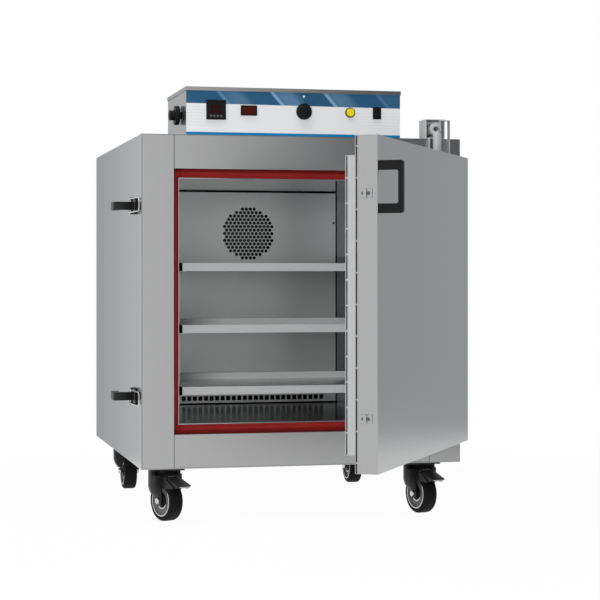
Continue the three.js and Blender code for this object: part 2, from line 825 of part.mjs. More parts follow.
// Rocker frame: a rectangular collar with the switch body behind it
function rockerFrame() {
  const neckWidth = rockerWidth - rockerFrameWall;
  const neckHeight = rockerHeight - rockerFrameWall;
  let frame = prism(rectangle(rockerWidth, rockerHeight), 'y', -rockerFrameProud, -fitGap);
  frame = frame.add(block([-neckWidth / 2, neckWidth / 2], [-rockerFrameProud / 2, rockerBodyDepth],
    [-neckHeight / 2, neckHeight / 2]));
  const [roomWidth, roomHeight] = [rockerWidth - 2 * rockerFrameWall, rockerHeight - 2 * rockerFrameWall];
  return frame.subtract(prism(rectangle(roomWidth, roomHeight), 'y', -rockerFrameProud - cutOverrun,
    rockerSink));
}

// Rocker: a shallow V seen from the side, so that one end stands proud while the other is pressed in
function rockerSwitch() {
  const half = rockerWidth / 2 - rockerFrameWall - fitGap;
  const reach = rockerHeight / 2 - rockerFrameWall - rockerEndGap;
  const rise = reach * Math.tan(THREE.MathUtils.degToRad(rockerThrow));
  const side = outlineOf([[-rockerProud, 0], [-rockerProud - rise, reach], [rockerPivotDepth, reach],
    [rockerPivotDepth + rise, 0], [rockerPivotDepth, -reach], [-rockerProud - rise, -reach]]);
  return prism(side, 'x', -half, half);
}

piece('control_box_body', controlBoxBody(), brushedSteel, controlBox);
piece('control_box_lid', controlBoxLid(), brushedSteel, controlBox);
piece('control_fascia', controlFascia(), paleFascia, controlBox);
const controllerSeat = groupAt(controlBox, controllerPlace, 0, controlRow);
piece('temperature_controller', panelInstrument(controllerSize, controllerSize, controllerBezel,
  controllerNeck,
  controllerNeck, controllerDepth, controllerRim, controllerFaceInset), blackPlastic, controllerSeat);
const displaySeat = groupAt(controlBox, displayPlace, 0, controlRow);
piece('alarm_display', panelInstrument(displayWidth, displayHeight, displayBezel,
  displayWidth - 2 * displayNeckInset, displayHeight - 2 * displayNeckInset, displayDepth, displayRim,
  displayFaceInset), darkRedWindow, displaySeat);
piece('selector_knob', selectorKnob(), blackPlastic, groupAt(controlBox, knobPlace, 0, controlRow));
const buttonSeat = groupAt(controlBox, buttonPlace, 0, controlRow);
piece('push_button_bezel', pushButtonBezel(), plainSteel, buttonSeat);
piece('push_button', pushButton(), yellowLens, buttonSeat);
const rockerSeat = groupAt(controlBox, rockerPlace, 0, controlRow);
piece('rocker_frame', rockerFrame(), blackPlastic, rockerSeat);
const rockerAxis = groupAt(rockerSeat, 0, 0, 0);
rockerAxis.rotation.x = THREE.MathUtils.degToRad(-rockerThrow);
piece('rocker_switch', rockerSwitch(), blackPlastic, rockerAxis);

// Mains inlet gland: neck, disc and stub with the lead's bore, pointing out of the box's left side
function mainsInlet() {
  const disc = glandNeck + glandDisc;
  const end = disc + glandStub;
  const profile = [[0, fitGap], [glandNeckRadius, fitGap], [glandNeckRadius, glandNeck],
    [glandDiscRadius, glandNeck], [glandDiscRadius, disc], [glandStubRadius, disc],
    [glandStubRadius, end], [glandBore, end], [glandBore, disc], [0, disc]];
  return toSolid(turned(profile, 24).rotateY(-Math.PI / 2));
}

piece('mains_inlet', mainsInlet(), blackPlastic, groupAt(controlBox, 0, glandDistance, glandHeight));

// Vent at the front right of the top: sheet housing open to the front, pipe body, and strap bracket
const vent = groupAt(cabinet, halfWidth - ventInset - ventWidth, 0, cabinetHeight);

function ventHousing() {
  const box = block([0, ventWidth], [0, ventDepth], [fitGap, ventHeight]);
  const room = block([ventSheet, ventWidth - ventSheet], [-cutOverrun, ventDepth - ventSheet],
    [ventSheet + fitGap, ventHeight - ventSheet]);
  return box.subtract(room);
}

const ventFoot = aboveDoorGap - doorTopInset;

function ventPipe() {
  const middle = ventWidth / 2;
  const body = rod('y', ventBodyRadius, -ventBodyProud, ventDepth - ventSheet - fitGap,
    [middle, ventBodyHeight]);
  const tubeTop = ventBodyHeight - ventBodyRadius + ventTubeLap;
  const tube = rod('z', ventTubeRadius, ventFoot, tubeTop, [middle + ventTubeOffset, -ventTubeDistance]);
  const bore = rod('y', ventBoreRadius, -ventBodyProud - cutOverrun, ventBoreDepth, [middle, ventBodyHeight]);
  return body.add(tube).subtract(bore);
}

// Strap bracket: a channel on the front column whose right leg rises and hooks over in front of the housing
function ventBracket() {
  const back = -fitGap;
  const [inner, outer] = [ventStrapInset, ventWidth + ventStrapOutset];
  const channel = foldedSheet([[inner, -ventShortLegDepth], [inner, back], [outer, back],
    [outer, -ventStrapDepth]], -ventSheet);
  const bracket = prism(channel, 'z', ventFoot, -fitGap);
  const hook = foldedSheet([[outer, ventFoot], [outer, ventStrapRise], [outer - ventHookReach, ventStrapRise],
    [outer - ventHookReach, ventStrapRise - ventHookDrop]], ventSheet);
  return bracket.add(prism(hook, 'y', -ventStrapDepth, -ventHookClear));
}

piece('vent_housing', ventHousing(), brushedSteel, vent);
piece('vent_pipe', ventPipe(), plainSteel, vent);
piece('vent_bracket', ventBracket(), brushedSteel, vent);

// Door, built closed about its pivot line and then swung open
const pivotX = halfWidth - pivotInset;
const doorHinge = groupAt(cabinet, pivotX, -pivotDistance, 0);
doorHinge.rotation.z = THREE.MathUtils.degToRad(doorOpenAngle);
const doorLatchEdge = doorLatchInset - halfWidth - pivotX;
const doorOuterFace = pivotDistance - doorStandOff - doorThickness;
const doorInnerFace = doorOuterFace + doorThickness;
const doorTop = cabinetHeight - doorTopInset;
const doorHeight = doorTop - doorBottom;

// Narrow slots along an edge that slow the heat flowing to the outer skin: equal ones between two short ends
function slotRow(length, endSlot) {
  const pitch = (length - 2 * endSlot) / doorSlotCount;
  const bridges = Array.from({ length: doorSlotCount + 1 }, (_, i) => endSlot + i * pitch);
  const marks = [-doorSlotBridge / 2, ...bridges, length + doorSlotBridge / 2];
  return marks.slice(1).map((mark, i) => [marks[i] + doorSlotBridge / 2, mark - doorSlotBridge / 2]);
}

function doorShell() {
  const outer = block([doorLatchEdge, pivotEdge], [doorOuterFace, doorInnerFace], [doorBottom, doorTop]);
  const room = block([doorLatchEdge + doorSheet, pivotEdge - doorSheet],
    [doorOuterFace + doorSheet, doorInnerFace + cutOverrun], [doorBottom + doorSheet, doorTop - doorSheet]);
  let shell = outer.subtract(room);
  const slotBack = doorInnerFace - doorSheet - doorSlotInset;
  const [slotLow, slotRoom] = [doorBottom + doorSheet, doorHeight - 2 * doorSheet];
  for (const [from, to] of slotRow(slotRoom, doorEndSlot)) {
    shell = shell.subtract(block([doorLatchEdge - cutOverrun, doorLatchEdge + doorSheet + cutOverrun],
      [slotBack - doorSlotHeight, slotBack], [slotLow + from, slotLow + to]));
  }
  return shell.subtract(rod('z', pinRadius + pinClearance, doorBottom - cutOverrun, doorTop + cutOverrun,
    [0, 0]));
}

// Inner pan: a rim that closes the shell, with a raised plug that fills the door recess
function doorPlug() {
  const inset = doorSheet + fitGap;
  const halfPlug = openingHalf - plugSideClearance;
  const [left, right] = [-pivotX - halfPlug, -pivotX + halfPlug];
  const [low, high] = [railHeight + plugEndClearance, cabinetHeight - railHeight - plugEndClearance];
  const face = doorInnerFace + plugDepth;
  const rim = block([doorLatchEdge + inset, pivotEdge - inset], [doorInnerFace - doorSheet, doorInnerFace],
    [doorBottom + inset, doorTop - inset]);
  const raised = block([left, right], [doorInnerFace - doorSheet, face], [low, high]);
  const room = block([left + doorSheet, right - doorSheet],
    [doorInnerFace - doorSheet - cutOverrun, face - doorSheet],
    [low + doorSheet, high - doorSheet]);
  let plug = rim.add(raised).subtract(room);
  const slotTop = face - doorSheet - doorSlotInset;
  const [slotLow, slotRoom] = [low + doorSheet, high - low - 2 * doorSheet];
  for (const [from, to] of slotRow(slotRoom, plugEndSlot)) {
    plug = plug.subtract(block([left - cutOverrun, left + doorSheet + cutOverrun],
      [slotTop - doorSlotHeight, slotTop], [slotLow + from, slotLow + to]));
  }
  return plug;
}

// Handle: a vertical U on the outer face, with rounded outer corners and a rounded finger space
function doorHandle() {
  const base = doorOuterFace - fitGap;
  const front = base - handleProud;
  const [low, high] = [doorTop - handleTopInset - handleHeight, doorTop - handleTopInset];
  const outline = new THREE.Shape();
  outline.moveTo(base, low);
  outline.lineTo(base, low + handleLeg);
  outline.lineTo(front + handleGrip + handleInnerRadius, low + handleLeg);
  outline.absarc(front + handleGrip + handleInnerRadius, low + handleLeg + handleInnerRadius,
    handleInnerRadius, -Math.PI / 2, -Math.PI, true);
  outline.absarc(front + handleGrip + handleInnerRadius, high - handleLeg - handleInnerRadius,
    handleInnerRadius, Math.PI, Math.PI / 2, true);
  outline.lineTo(base, high - handleLeg);
  outline.lineTo(base, high);
  outline.absarc(front + handleOuterRadius, high - handleOuterRadius, handleOuterRadius, Math.PI / 2,
    Math.PI);
  outline.absarc(front + handleOuterRadius, low + handleOuterRadius, handleOuterRadius, Math.PI,
    3 * Math.PI / 2);
  const left = doorLatchEdge + handleEdgeInset;
  return prism(outline, 'x', left, left + handleWidth);
}

// Keeper on the door's latch edge: a small plate with a low hook rib for the bail
function latchKeeper(height) {
  const edge = doorLatchEdge - fitGap;
  const middle = doorOuterFace + keeperSetback;
  const [low, high] = [height - keeperHeight / 2, height + keeperHeight / 2];
  const plate = block([edge - keeperPlate, edge], [middle - keeperWidth / 2, middle + keeperWidth / 2],
    [low, high]);
  const hookEdge = edge - keeperPlate - keeperHook;
  const hook = block([hookEdge, edge - keeperPlate / 2],
    [middle - keeperHookWidth / 2, middle + keeperHookWidth / 2],
    [low, high]);
  return plate.add(hook);
}

const latchHeights = [doorBottom + latchLowInset, doorTop - latchHighInset];
piece('door_shell', doorShell(), brushedSteel, doorHinge);
piece('door_plug', doorPlug(), plainSteel, doorHinge);
piece('door_handle', doorHandle(), blackPlastic, doorHinge);
['lower', 'upper'].forEach((level, i) => {
  piece(`keeper_${level}`, latchKeeper(latchHeights[i]), plainSteel, doorHinge);
});

// Hinge brackets: plates on the right column above and below the door, each with a pin into the shell
function hingeBracket(direction) {
  const outline = new THREE.Shape();
  outline.moveTo(-bracketHalfWidth, pivotDistance - fitGap);
  outline.lineTo(-bracketHalfWidth, 0);
  outline.absarc(0, 0, bracketRadius, Math.PI, 2 * Math.PI);
  outline.lineTo(bracketHalfWidth, pivotDistance - fitGap);
  const span = (near, far) => [direction * near, direction * far].sort((a, b) => a - b);
  const plate = prism(outline, 'z', ...span(fitGap, fitGap + bracketPlate));
  return plate.add(rod('z', pinRadius, ...span(-pinLength, fitGap + bracketPlate / 2), [0, 0]));
}

piece('hinge_bracket_upper', hingeBracket(1), plainSteel, groupAt(cabinet, pivotX, -pivotDistance, doorTop));
piece('hinge_bracket_lower', hingeBracket(-1), plainSteel,
  groupAt(cabinet, pivotX, -pivotDistance, doorBottom));

// Side latches: plate with two ears, an L-shaped lever, and a wire bail that reaches past the front edge.
// Each is measured from the lever's pivot line, outward being -X.
function latchBase() {
  const wall = latchPivotRise - fitGap;
  const half = latchHeight / 2;
  let base = block([wall - latchPlate, wall], [-latchPlateFront, latchPlateBack], [-half, half]);
  const ear = outlineOf([[wall - latchPlate / 2, -latchEarFoot], [wall - latchPlate / 2, latchEarFoot],
    [0, latchEarRadius], [-latchEarHeight, latchEarNose], [-latchEarHeight, -latchEarNose],
    [0, -latchEarRadius]]);
  for (const from of [-half, half - latchEarThickness]) {
    base = base.add(prism(ear, 'z', from, from + latchEarThickness));
  }
  const pinEnd = half - latchEarThickness / 2;
  return base.add(rod('z', latchPinRadius, -pinEnd, pinEnd, [0, 0], 12));
}

function latchLever() {
  const reach = leverReach - latchPivotRise;
  const halfArm = leverArm / 2;
  const tip = leverGripLength - halfArm;
  const outline = new THREE.Shape();
  outline.moveTo(0, -halfArm);
  outline.lineTo(0, halfArm);
  outline.lineTo(-reach + leverGrip, halfArm);
  outline.absarc(-reach + leverGrip - leverCorner, tip - leverCorner, leverCorner, 0, Math.PI / 2);
  outline.absarc(-reach + leverCorner, tip - leverCorner, leverCorner, Math.PI / 2, Math.PI);
  outline.absarc(-reach + leverCorner, -halfArm + leverCorner, leverCorner, Math.PI, 3 * Math.PI / 2);
  const half = leverHeight / 2;
  const eye = rod('z', leverEyeRadius, -half, half, [0, 0]);
  const pinBore = rod('z', latchPinRadius + fitGap, -leverHeight, leverHeight, [0, 0], 12);
  const bailBore = rod('z', bailWire + fitGap, -leverHeight, leverHeight,
    [-bailPivotRise, bailPivotSetback], 12);
  return prism(outline, 'z', -half, half).add(eye).subtract(pinBore).subtract(bailBore);
}

// Bail: one wire through the lever, bent forward into a long D, its two ends meeting inside the lever
function latchBail() {
  const half = bailHeight / 2 - bailWire;
  const front = bailWire - bailReach;
  const at = (y, z) => new THREE.Vector3(0, y, z);
  const path = new THREE.CurvePath();
  const straight = (from, to) => path.add(new THREE.LineCurve3(at(...from), at(...to)));
  const bend = (from, knee, to) => {
    path.add(new THREE.QuadraticBezierCurve3(at(...from), at(...knee), at(...to)));
  };
  straight([0, fitGap], [0, half - bailRearCorner]);
  bend([0, half - bailRearCorner], [0, half], [-bailRearCorner, half]);
  straight([-bailRearCorner, half], [front + bailFrontCorner, half]);
  bend([front + bailFrontCorner, half], [front, half], [front, half - bailFrontCorner]);
  straight([front, half - bailFrontCorner], [front, -half + bailFrontCorner]);
  bend([front, -half + bailFrontCorner], [front, -half], [front + bailFrontCorner, -half]);
  straight([front + bailFrontCorner, -half], [-bailRearCorner, -half]);
  bend([-bailRearCorner, -half], [0, -half], [0, -half + bailRearCorner]);
  straight([0, -half + bailRearCorner], [0, -fitGap]);
  const section = new THREE.Shape().absarc(0, 0, bailWire, 0, 2 * Math.PI);
  return new THREE.ExtrudeGeometry(section,
    { steps: 44, curveSegments: 3, bevelEnabled: false, extrudePath: path });
}

['lower', 'upper'].forEach((level, i) => {
  const seat = groupAt(cabinet, -halfWidth - latchPivotRise, latchSetback, latchHeights[i]);
  piece(`latch_base_${level}`, latchBase(), plainSteel, seat);
  piece(`latch_lever_${level}`, latchLever(), blackPlastic, seat);
  const bailSeat = groupAt(seat, -bailPivotRise, bailPivotSetback, 0);
  bailSeat.rotation.z = THREE.MathUtils.degToRad(bailLean);
  piece(`latch_bail_${level}`, toSolid(latchBail()), plainSteel, bailSeat);
});

// Casters, each measured from its swivel line on the floor, with the wheel trailing towards -Y
const casterPlateUnder = groundClearance - fitGap - casterPlateThickness;
const forkTop = casterPlateUnder - swivelHeight - fitGap;
const forkInside = wheelTread / 2 + forkSideGap;
const forkOutside = forkInside + forkPlate;

function casterPlate() {
  const outline = rectangle(casterPlateWidth, casterPlateLength, [0, 0], casterPlateCorner);
  const plate = prism(outline, 'z', casterPlateUnder, casterPlateUnder + casterPlateThickness, 3);
  const middle = casterPlateUnder + casterPlateThickness / 2;
  const head = turned([[0, casterPlateUnder - swivelHeight],
    [swivelBottomRadius, casterPlateUnder - swivelHeight],
    [swivelTopRadius, casterPlateUnder], [swivelTopRadius, middle], [0, middle]], 20);
  const kingpin = rod('z', kingpinRadius, forkTop - forkPlate - kingpinEnd, casterPlateUnder, [0, 0], 16);
  return plate.add(toSolid(head)).add(kingpin);
}

// Fork: a moulded pot round the swivel, split into two legs beside the wheel, with the axle and its heads
// A braked one has two horns that carry the pedal's pin in front of the wheel.
function casterFork(braked) {
  const pot = toSolid(turned([[0, forkHem], [forkHemRadius, forkHem], [forkKneeRadius, forkKnee],
    [forkPotRadius, forkShoulder], [forkPotRadius, forkPotTop], [0, forkPotTop]], 28));
  const overall = forkPotRadius + cutOverrun;
  const behind = block([-overall, overall], [-forkFront, overall],
    [forkHem - cutOverrun, forkPotTop + cutOverrun]);
  const headRoom = rod('z', forkPotRadius - forkPotWall, forkTop, forkPotTop + cutOverrun, [0, 0], 28);
  const low = block([-overall, overall], [-overall, -forkPotSplit], [forkTop, forkPotTop + cutOverrun]);
  let fork = pot.intersect(behind).subtract(headRoom).subtract(low);
  const leg = new THREE.Shape();
  leg.moveTo(forkHemRadius - forkPotSplit, forkKnee);
  leg.lineTo(-forkFront, forkKnee);
  leg.absarc(-casterTrail, wheelRadius, forkEndRadius, Math.PI, 2 * Math.PI);
  const sides = [prism(leg, 'x', -forkOutside, forkOutside)];
  if (braked) {
    const horn = outlineOf([[-forkPotSplit, forkTop], [-forkHornStart, forkTop],
      [-forkHornReach, forkHornTop], [-forkHornReach, forkHornBottom], [-forkPotSplit, forkHornBottom]]);
    sides.push(prism(horn, 'x', -forkOutside, forkOutside));
  }
  fork = sides.reduce((all, side) => all.add(side), fork);
  const crownUnder = forkTop - forkPlate;
  fork = fork.subtract(block([-forkInside, forkInside], [-forkHornReach - cutOverrun, overall],
    [0, crownUnder]));
  fork = fork.subtract(block([-forkInside, forkInside], [-forkHornReach - cutOverrun, -forkHornStart],
    [0, forkPotTop]));
  fork = fork.subtract(rod('z', kingpinRadius + fitGap, crownUnder - cutOverrun, forkTop + cutOverrun,
    [0, 0], 16));
  if (braked) {
    const pinPlace = [-pedalPivotReach, pedalPivotHeight];
    fork = fork.subtract(rod('x', pedalPinRadius + fitGap, -overall, overall, pinPlace, 12));
  }
  const axlePlace = [-casterTrail, wheelRadius];
  fork = fork.add(rod('x', axleRadius, -forkOutside, forkOutside, axlePlace, 16));
  for (const from of [-forkOutside - axleHead, forkInside + forkPlate / 2]) {
    fork = fork.add(rod('x', axleHeadRadius, from, from + axleHead + forkPlate / 2, axlePlace, 6));
  }
  return fork;
}

// Wheel: tyre with rounded shoulders on a recessed rim and a hub boss, turned about its axle
function casterWheel() {
  const half = wheelTread / 2;
  const web = half - rimRecess;
  const bore = axleRadius + fitGap;
  const tyreInside = wheelRadius - tyreThickness;
  const near = [[bore, -half], [hubBossRadius, -half], [hubBossRadius + rimSlope, -web],
    [tyreInside - rimSlope, -web], [tyreInside, -half], [wheelRadius - wheelShoulder, -half],
    [wheelRadius, -half + wheelShoulder]];
  const far = near.map(([radius, place]) => [radius, -place]).reverse();
  return toSolid(turned([...near, ...far, near[0]], 24).rotateY(Math.PI / 2));
}

// Brake pedal between the fork's horns: a wedge that slopes down to its tread, on a cross pin
function brakePedal() {
  const half = forkInside - pedalSideGap;
  const at = (reach, height) => [pedalPivotReach - reach, height - pedalPivotHeight];
  const side = outlineOf([at(pedalHeel, pedalHeelHeight), at(pedalReach, pedalTipHeight),
    at(pedalReach, pedalTipHeight - pedalTipEdge), at(pedalJawReach, pedalJawHeight),
    at(pedalPivotReach, pedalJawHeight), at(pedalHeel, pedalHeelFoot)]);
  const lever = prism(side, 'x', -half, half);
  return lever.add(rod('x', pedalPinRadius, -forkOutside, forkOutside, [0, 0], 12));
}

const [casterLeft, casterRight] = [casterLeftInset - halfWidth, halfWidth - casterRightInset];
const casterPlaces = [
  ['front_left', casterLeft, casterFrontInset, frontLeftSwivel, true],
  ['front_right', casterRight, casterFrontInset, frontRightSwivel, true],
  ['rear_left', casterLeft, cabinetDepth - casterRearInset, 0, false],
  ['rear_right', casterRight, cabinetDepth - casterRearInset, 0, false],
];
for (const [corner, across, distance, angle, braked] of casterPlaces) {
  const seat = groupAt(oven, across, distance, 0);
  piece(`caster_plate_${corner}`, casterPlate(), blackEnamel, seat);
  const swivel = groupAt(seat, 0, 0, 0);
  swivel.rotation.z = THREE.MathUtils.degToRad(angle);
  piece(`caster_fork_${corner}`, casterFork(braked), blackEnamel, swivel);
  piece(`caster_wheel_${corner}`, casterWheel(), blackRubber, groupAt(swivel, 0, -casterTrail, wheelRadius));
  if (braked) {
    const pedalSeat = groupAt(swivel, 0, -pedalPivotReach, pedalPivotHeight);
    piece(`brake_pedal_${corner}`, brakePedal(), blackEnamel, pedalSeat);
  }
}

// The origin is under the middle of everything, on the floor
oven.updateMatrixWorld(true);
const extent = new THREE.Box3().setFromObject(oven, true);
const centre = extent.getCenter(new THREE.Vector3());
oven.position.set(-centre.x, -centre.y, -extent.min.z);

export default oven;
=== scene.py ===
"""Dressing of a dry heat sterilizer: finishes, rounded sheet edges, small fittings, light and camera.

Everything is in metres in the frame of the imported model: +Z up, +X to the right, +Y from the front to
the back, with the origin on the floor under the middle of the oven.
"""
import json
import math

import bmesh
import bpy
from mathutils import Matrix, Vector


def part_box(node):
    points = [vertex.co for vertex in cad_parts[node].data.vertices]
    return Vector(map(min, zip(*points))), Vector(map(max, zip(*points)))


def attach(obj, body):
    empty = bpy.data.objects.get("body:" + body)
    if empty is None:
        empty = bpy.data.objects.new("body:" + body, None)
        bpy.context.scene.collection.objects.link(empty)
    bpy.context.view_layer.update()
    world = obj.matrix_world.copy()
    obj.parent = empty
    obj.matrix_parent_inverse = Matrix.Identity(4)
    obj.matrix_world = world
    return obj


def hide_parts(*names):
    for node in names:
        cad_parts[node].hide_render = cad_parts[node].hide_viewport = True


bl_info = {
    "name": "Dry Heat Sterilizer",
    "version": (1, 0, 0),
    "blender": (4, 5, 0),
    "location": "3D View > Sidebar > Sterilizer",
    "description": "Finishes, fittings, light and camera for a dry heat sterilizer",
    "category": "Object",
}

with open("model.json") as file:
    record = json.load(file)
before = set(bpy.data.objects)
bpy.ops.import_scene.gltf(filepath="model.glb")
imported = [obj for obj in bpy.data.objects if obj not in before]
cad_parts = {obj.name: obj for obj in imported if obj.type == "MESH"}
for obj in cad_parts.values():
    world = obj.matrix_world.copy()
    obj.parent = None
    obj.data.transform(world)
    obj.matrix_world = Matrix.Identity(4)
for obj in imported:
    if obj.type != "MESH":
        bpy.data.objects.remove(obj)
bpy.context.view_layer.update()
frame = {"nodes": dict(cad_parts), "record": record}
record = frame["record"]
joints = {joint["name"]: joint for joint in record["behaviour"]["joints"]}
body_of = {node: body for body, nodes in record["behaviour"]["bodies"].items() for node in nodes}
corners = ("front_left", "front_right", "rear_left", "rear_right")
braked_corners = corners[:2]
levels = ("lower", "upper")

# How CAD nodes are merged and rounded
weld = 0.000001
flat_angle = math.radians(0.3)
sharp_angle = math.radians(28)
smooth_angle = math.radians(35)
bevel_room = 1.3
shortest_rim = 6

# Turns of the grain to the metre along X, Y and Z: few along a sheet's grain, many across it
upright_grain = (700.0, 700.0, 10.0)
level_grain = (10.0, 700.0, 700.0)
pan_grain = (500.0, 500.0, 10.0)
baffle_grain = (12.0, 12.0, 700.0)
liner_grain = (12.0, 12.0, 300.0)
tray_grain = (14.0, 700.0, 700.0)
cast_grain = (500.0, 500.0, 500.0)
chrome_grain = (300.0, 300.0, 300.0)


def colour_property(name, description, default):
    return bpy.props.FloatVectorProperty(
        name=name, description=description, default=(*default, 1.0), size=4, min=0, max=1, subtype="COLOR"
    )


def length_property(name, description, default):
    return bpy.props.FloatProperty(
        name=name, description=description, default=default, min=0.0001, max=2,
        subtype="DISTANCE", unit="LENGTH",
    )


class SterilizerFinishes(bpy.types.PropertyGroup):
    """Colours and gloss of the visible surfaces."""

    casing_steel: colour_property(
        "Casing steel", "Satin stainless sheet of the casing and door", (0.43, 0.432, 0.434)
    )
    bright_steel: colour_property(
        "Bright steel", "Trays, door pan, vent and small fittings", (0.48, 0.485, 0.49)
    )
    liner_steel: colour_property("Liner steel", "Polished inner box", (0.37, 0.378, 0.395))
    baffle_steel: colour_property(
        "Baffle steel", "Air baffle at the back of the chamber", (0.64, 0.655, 0.65)
    )
    chrome: colour_property("Chrome", "Latch bails, axle heads and wheel rings", (0.62, 0.62, 0.63))
    # Painted shade: near-black on the fan, motor and heater behind the air baffle, so that the baffle's holes
    # look dark
    dark_metal: colour_property("Dark metal", "Fan, heater and baffle screws", (0.012, 0.012, 0.013))
    seal_red: colour_property("Seal red", "Silicone seal round the chamber's mouth", (0.235, 0.014, 0.013))
    wool_yellow: colour_property("Wool yellow", "Mineral wool of the insulation", (0.45, 0.38, 0.22))
    black_moulding: colour_property(
        "Black moulding", "Handle, knob, latch bases and instrument cases", (0.006, 0.006, 0.006)
    )
    lever_black: colour_property("Lever black", "Latch levers", (0.016, 0.0165, 0.0165))
    black_enamel: colour_property("Black enamel", "Caster forks and plates", (0.012, 0.012, 0.012))
    # Painted shade: matt black inside the door's hollow; also the dark seal joints and the black blocks in
    # the gaps beside the trays
    matt_black: colour_property(
        "Matt black", "Hollow of the door, seal joints and tray stops", (0.002, 0.002, 0.002)
    )
    tyre_black: colour_property("Tyre black", "Solid rubber tyres", (0.005, 0.005, 0.005))
    rim_grey: colour_property("Rim grey", "Wheel rims", (0.13, 0.13, 0.132))
    panel_white: colour_property(
        "Panel grey-white", "Plain field of the control panel", (0.70, 0.71, 0.72)
    )
    panel_blue: colour_property(
        "Panel blue", "Band across the top of the control panel", (0.020, 0.085, 0.165)
    )
    bar_blue: colour_property("Bar blue", "Soft bars across the panel's band", (0.30, 0.50, 0.72))
    rule_grey: colour_property("Rule grey", "Short rules on the panel's field", (0.40, 0.41, 0.42))
    stripe_blue: colour_property(
        "Stripe blue", "Stripe along the foot of the control panel", (0.004, 0.170, 0.400)
    )
    mark_grey: colour_property("Mark grey", "Pointer mark over the knob", (0.62, 0.64, 0.60))
    key_grey: colour_property("Key grey", "Controller keys and keeper screws", (0.09, 0.092, 0.095))
    lens_yellow: colour_property("Lens yellow", "Push button lens", (0.72, 0.60, 0.012))
    readout_red: colour_property("Readout red", "Unlit readout windows", (0.050, 0.004, 0.002))
    casing_gloss: bpy.props.FloatProperty(
        name="Casing roughness", description="Blur of the casing's reflections", default=0.22, min=0, max=1
    )


class SterilizerFittings(bpy.types.PropertyGroup):
    """Sizes of the folds and small fittings."""

    fold_radius: length_property("Fold radius", "Outer radius of folded sheet edges", 0.0009)
    rim_radius: length_property("Rim radius", "Rounding of cut sheet edges", 0.0004)
    screw_radius: length_property("Screw radius", "Pan head screw radius", 0.0034)
    perforation_pitch: length_property(
        "Perforation pitch", "Spacing of the holes in the tray floors", 0.0096
    )
    perforation_radius: length_property(
        "Perforation radius", "Radius of the holes in the tray floors", 0.0026
    )


class SterilizerStage(bpy.types.PropertyGroup):
    """Camera, floor and light."""

    camera_place: bpy.props.FloatVectorProperty(
        name="Camera", description="Where the camera stands", default=(-0.9879, -4.3398, 0.6047),
        subtype="TRANSLATION",
    )
    camera_turn: bpy.props.FloatProperty(
        name="Camera turn", description="Turn of the level camera from the +Y direction",
        default=math.radians(-13.25), subtype="ANGLE",
    )
    focal_length: bpy.props.FloatProperty(
        name="Focal length", description="Focal length on a 36 mm sensor, in millimetres",
        default=106.1, min=1,
    )
    rise: bpy.props.FloatProperty(
        name="Rise", description="Vertical lens shift of the photograph", default=-0.0442
    )
    sky_strength: bpy.props.FloatProperty(
        name="Sky", description="Light that the white surroundings give", default=0.22, min=0
    )
    front_power: bpy.props.FloatProperty(
        name="Front light", description="Power of the lamp that lights the front and the chamber",
        default=105, unit="POWER",
    )
    top_power: bpy.props.FloatProperty(
        name="Top light", description="Power of the lamp over the oven", default=120, unit="POWER"
    )


class Value:
    """A shader socket that takes part in Python sums."""

    def __init__(self, tree, socket):
        self.tree, self.socket = tree, socket

    def math(self, operation, *others):
        return self.tree.node("ShaderNodeMath", {"operation": operation}, dict(enumerate((self, *others))))

    def __add__(self, other):
        return self.math("ADD", other)

    __radd__ = __add__

    def __mul__(self, other):
        return self.math("MULTIPLY", other)

    __rmul__ = __mul__

    def __sub__(self, other):
        return self.math("SUBTRACT", other)

    def __rsub__(self, other):
        return self.tree.node("ShaderNodeMath", {"operation": "SUBTRACT"}, {0: other, 1: self})

    def __truediv__(self, other):
        return self.math("DIVIDE", other)

    def __lt__(self, other):
        return self.math("LESS_THAN", other)

    def __gt__(self, other):
        return self.math("GREATER_THAN", other)

    def __abs__(self):
        return self.math("ABSOLUTE")

    def wrap(self, step):
        """Distance from the nearest multiple of the step."""
        return abs((self / step + 0.5).math("FRACT") - 0.5) * step

    def ramp(self, low, high, to_low=0.0, to_high=1.0):
        values = {"Value": self, "From Min": low, "From Max": high, "To Min": to_low, "To Max": to_high}
        return self.tree.node("ShaderNodeMapRange", {"interpolation_type": "SMOOTHSTEP"}, values)


class NodeTree:
    """A node tree that is written as Python sums."""

    def __init__(self, tree):
        self.tree = tree
        tree.nodes.clear()

    def node(self, kind, settings=None, values=None, output=0):
        node = self.tree.nodes.new(kind)
        for key, setting in (settings or {}).items():
            setattr(node, key, setting)
        for key, value in (values or {}).items():
            if isinstance(value, Value):
                self.tree.links.new(value.socket, node.inputs[key])
            else:
                node.inputs[key].default_value = value
        return Value(self, node.outputs[output])

    def object_place(self):
        return self.node("ShaderNodeTexCoord", output="Object")

    def split(self, vector):
        separate = self.node("ShaderNodeSeparateXYZ", values={0: vector})
        outputs = separate.socket.node.outputs
        return [Value(self, outputs[i]) for i in range(3)]

    def noise(self, place, factors, detail):
        """Noise over a place that is stretched by the factors, which are turns to the metre."""
        stretched = self.node("ShaderNodeVectorMath", {"operation": "MULTIPLY"}, {0: place, 1: factors})
        values = {"Vector": stretched, "Scale": 1.0, "Detail": detail}
        return self.node("ShaderNodeTexNoise", {"noise_dimensions": "3D"}, values)

    def mix(self, factor, first, second):
        return self.node("ShaderNodeMix", {"data_type": "RGBA"}, {0: factor, 6: first, 7: second}, 2)

    def bump(self, height, distance, strength):
        values = {"Height": height, "Distance": distance, "Strength": strength}
        return self.node("ShaderNodeBump", None, values)

    def surface(self, shader, kind="ShaderNodeOutputMaterial"):
        output = self.tree.nodes.new(kind)
        self.tree.links.new(shader.socket, output.inputs["Surface"])

    def principled(self, values):
        self.surface(self.node("ShaderNodeBsdfPrincipled", None, values))


def new_material(name):
    material = bpy.data.materials.new(name)
    material.use_nodes = True
    return material, NodeTree(material.node_tree)


def shade(colour, factor):
    return (*[min(channel * factor, 1.0) for channel in colour[:3]], 1.0)


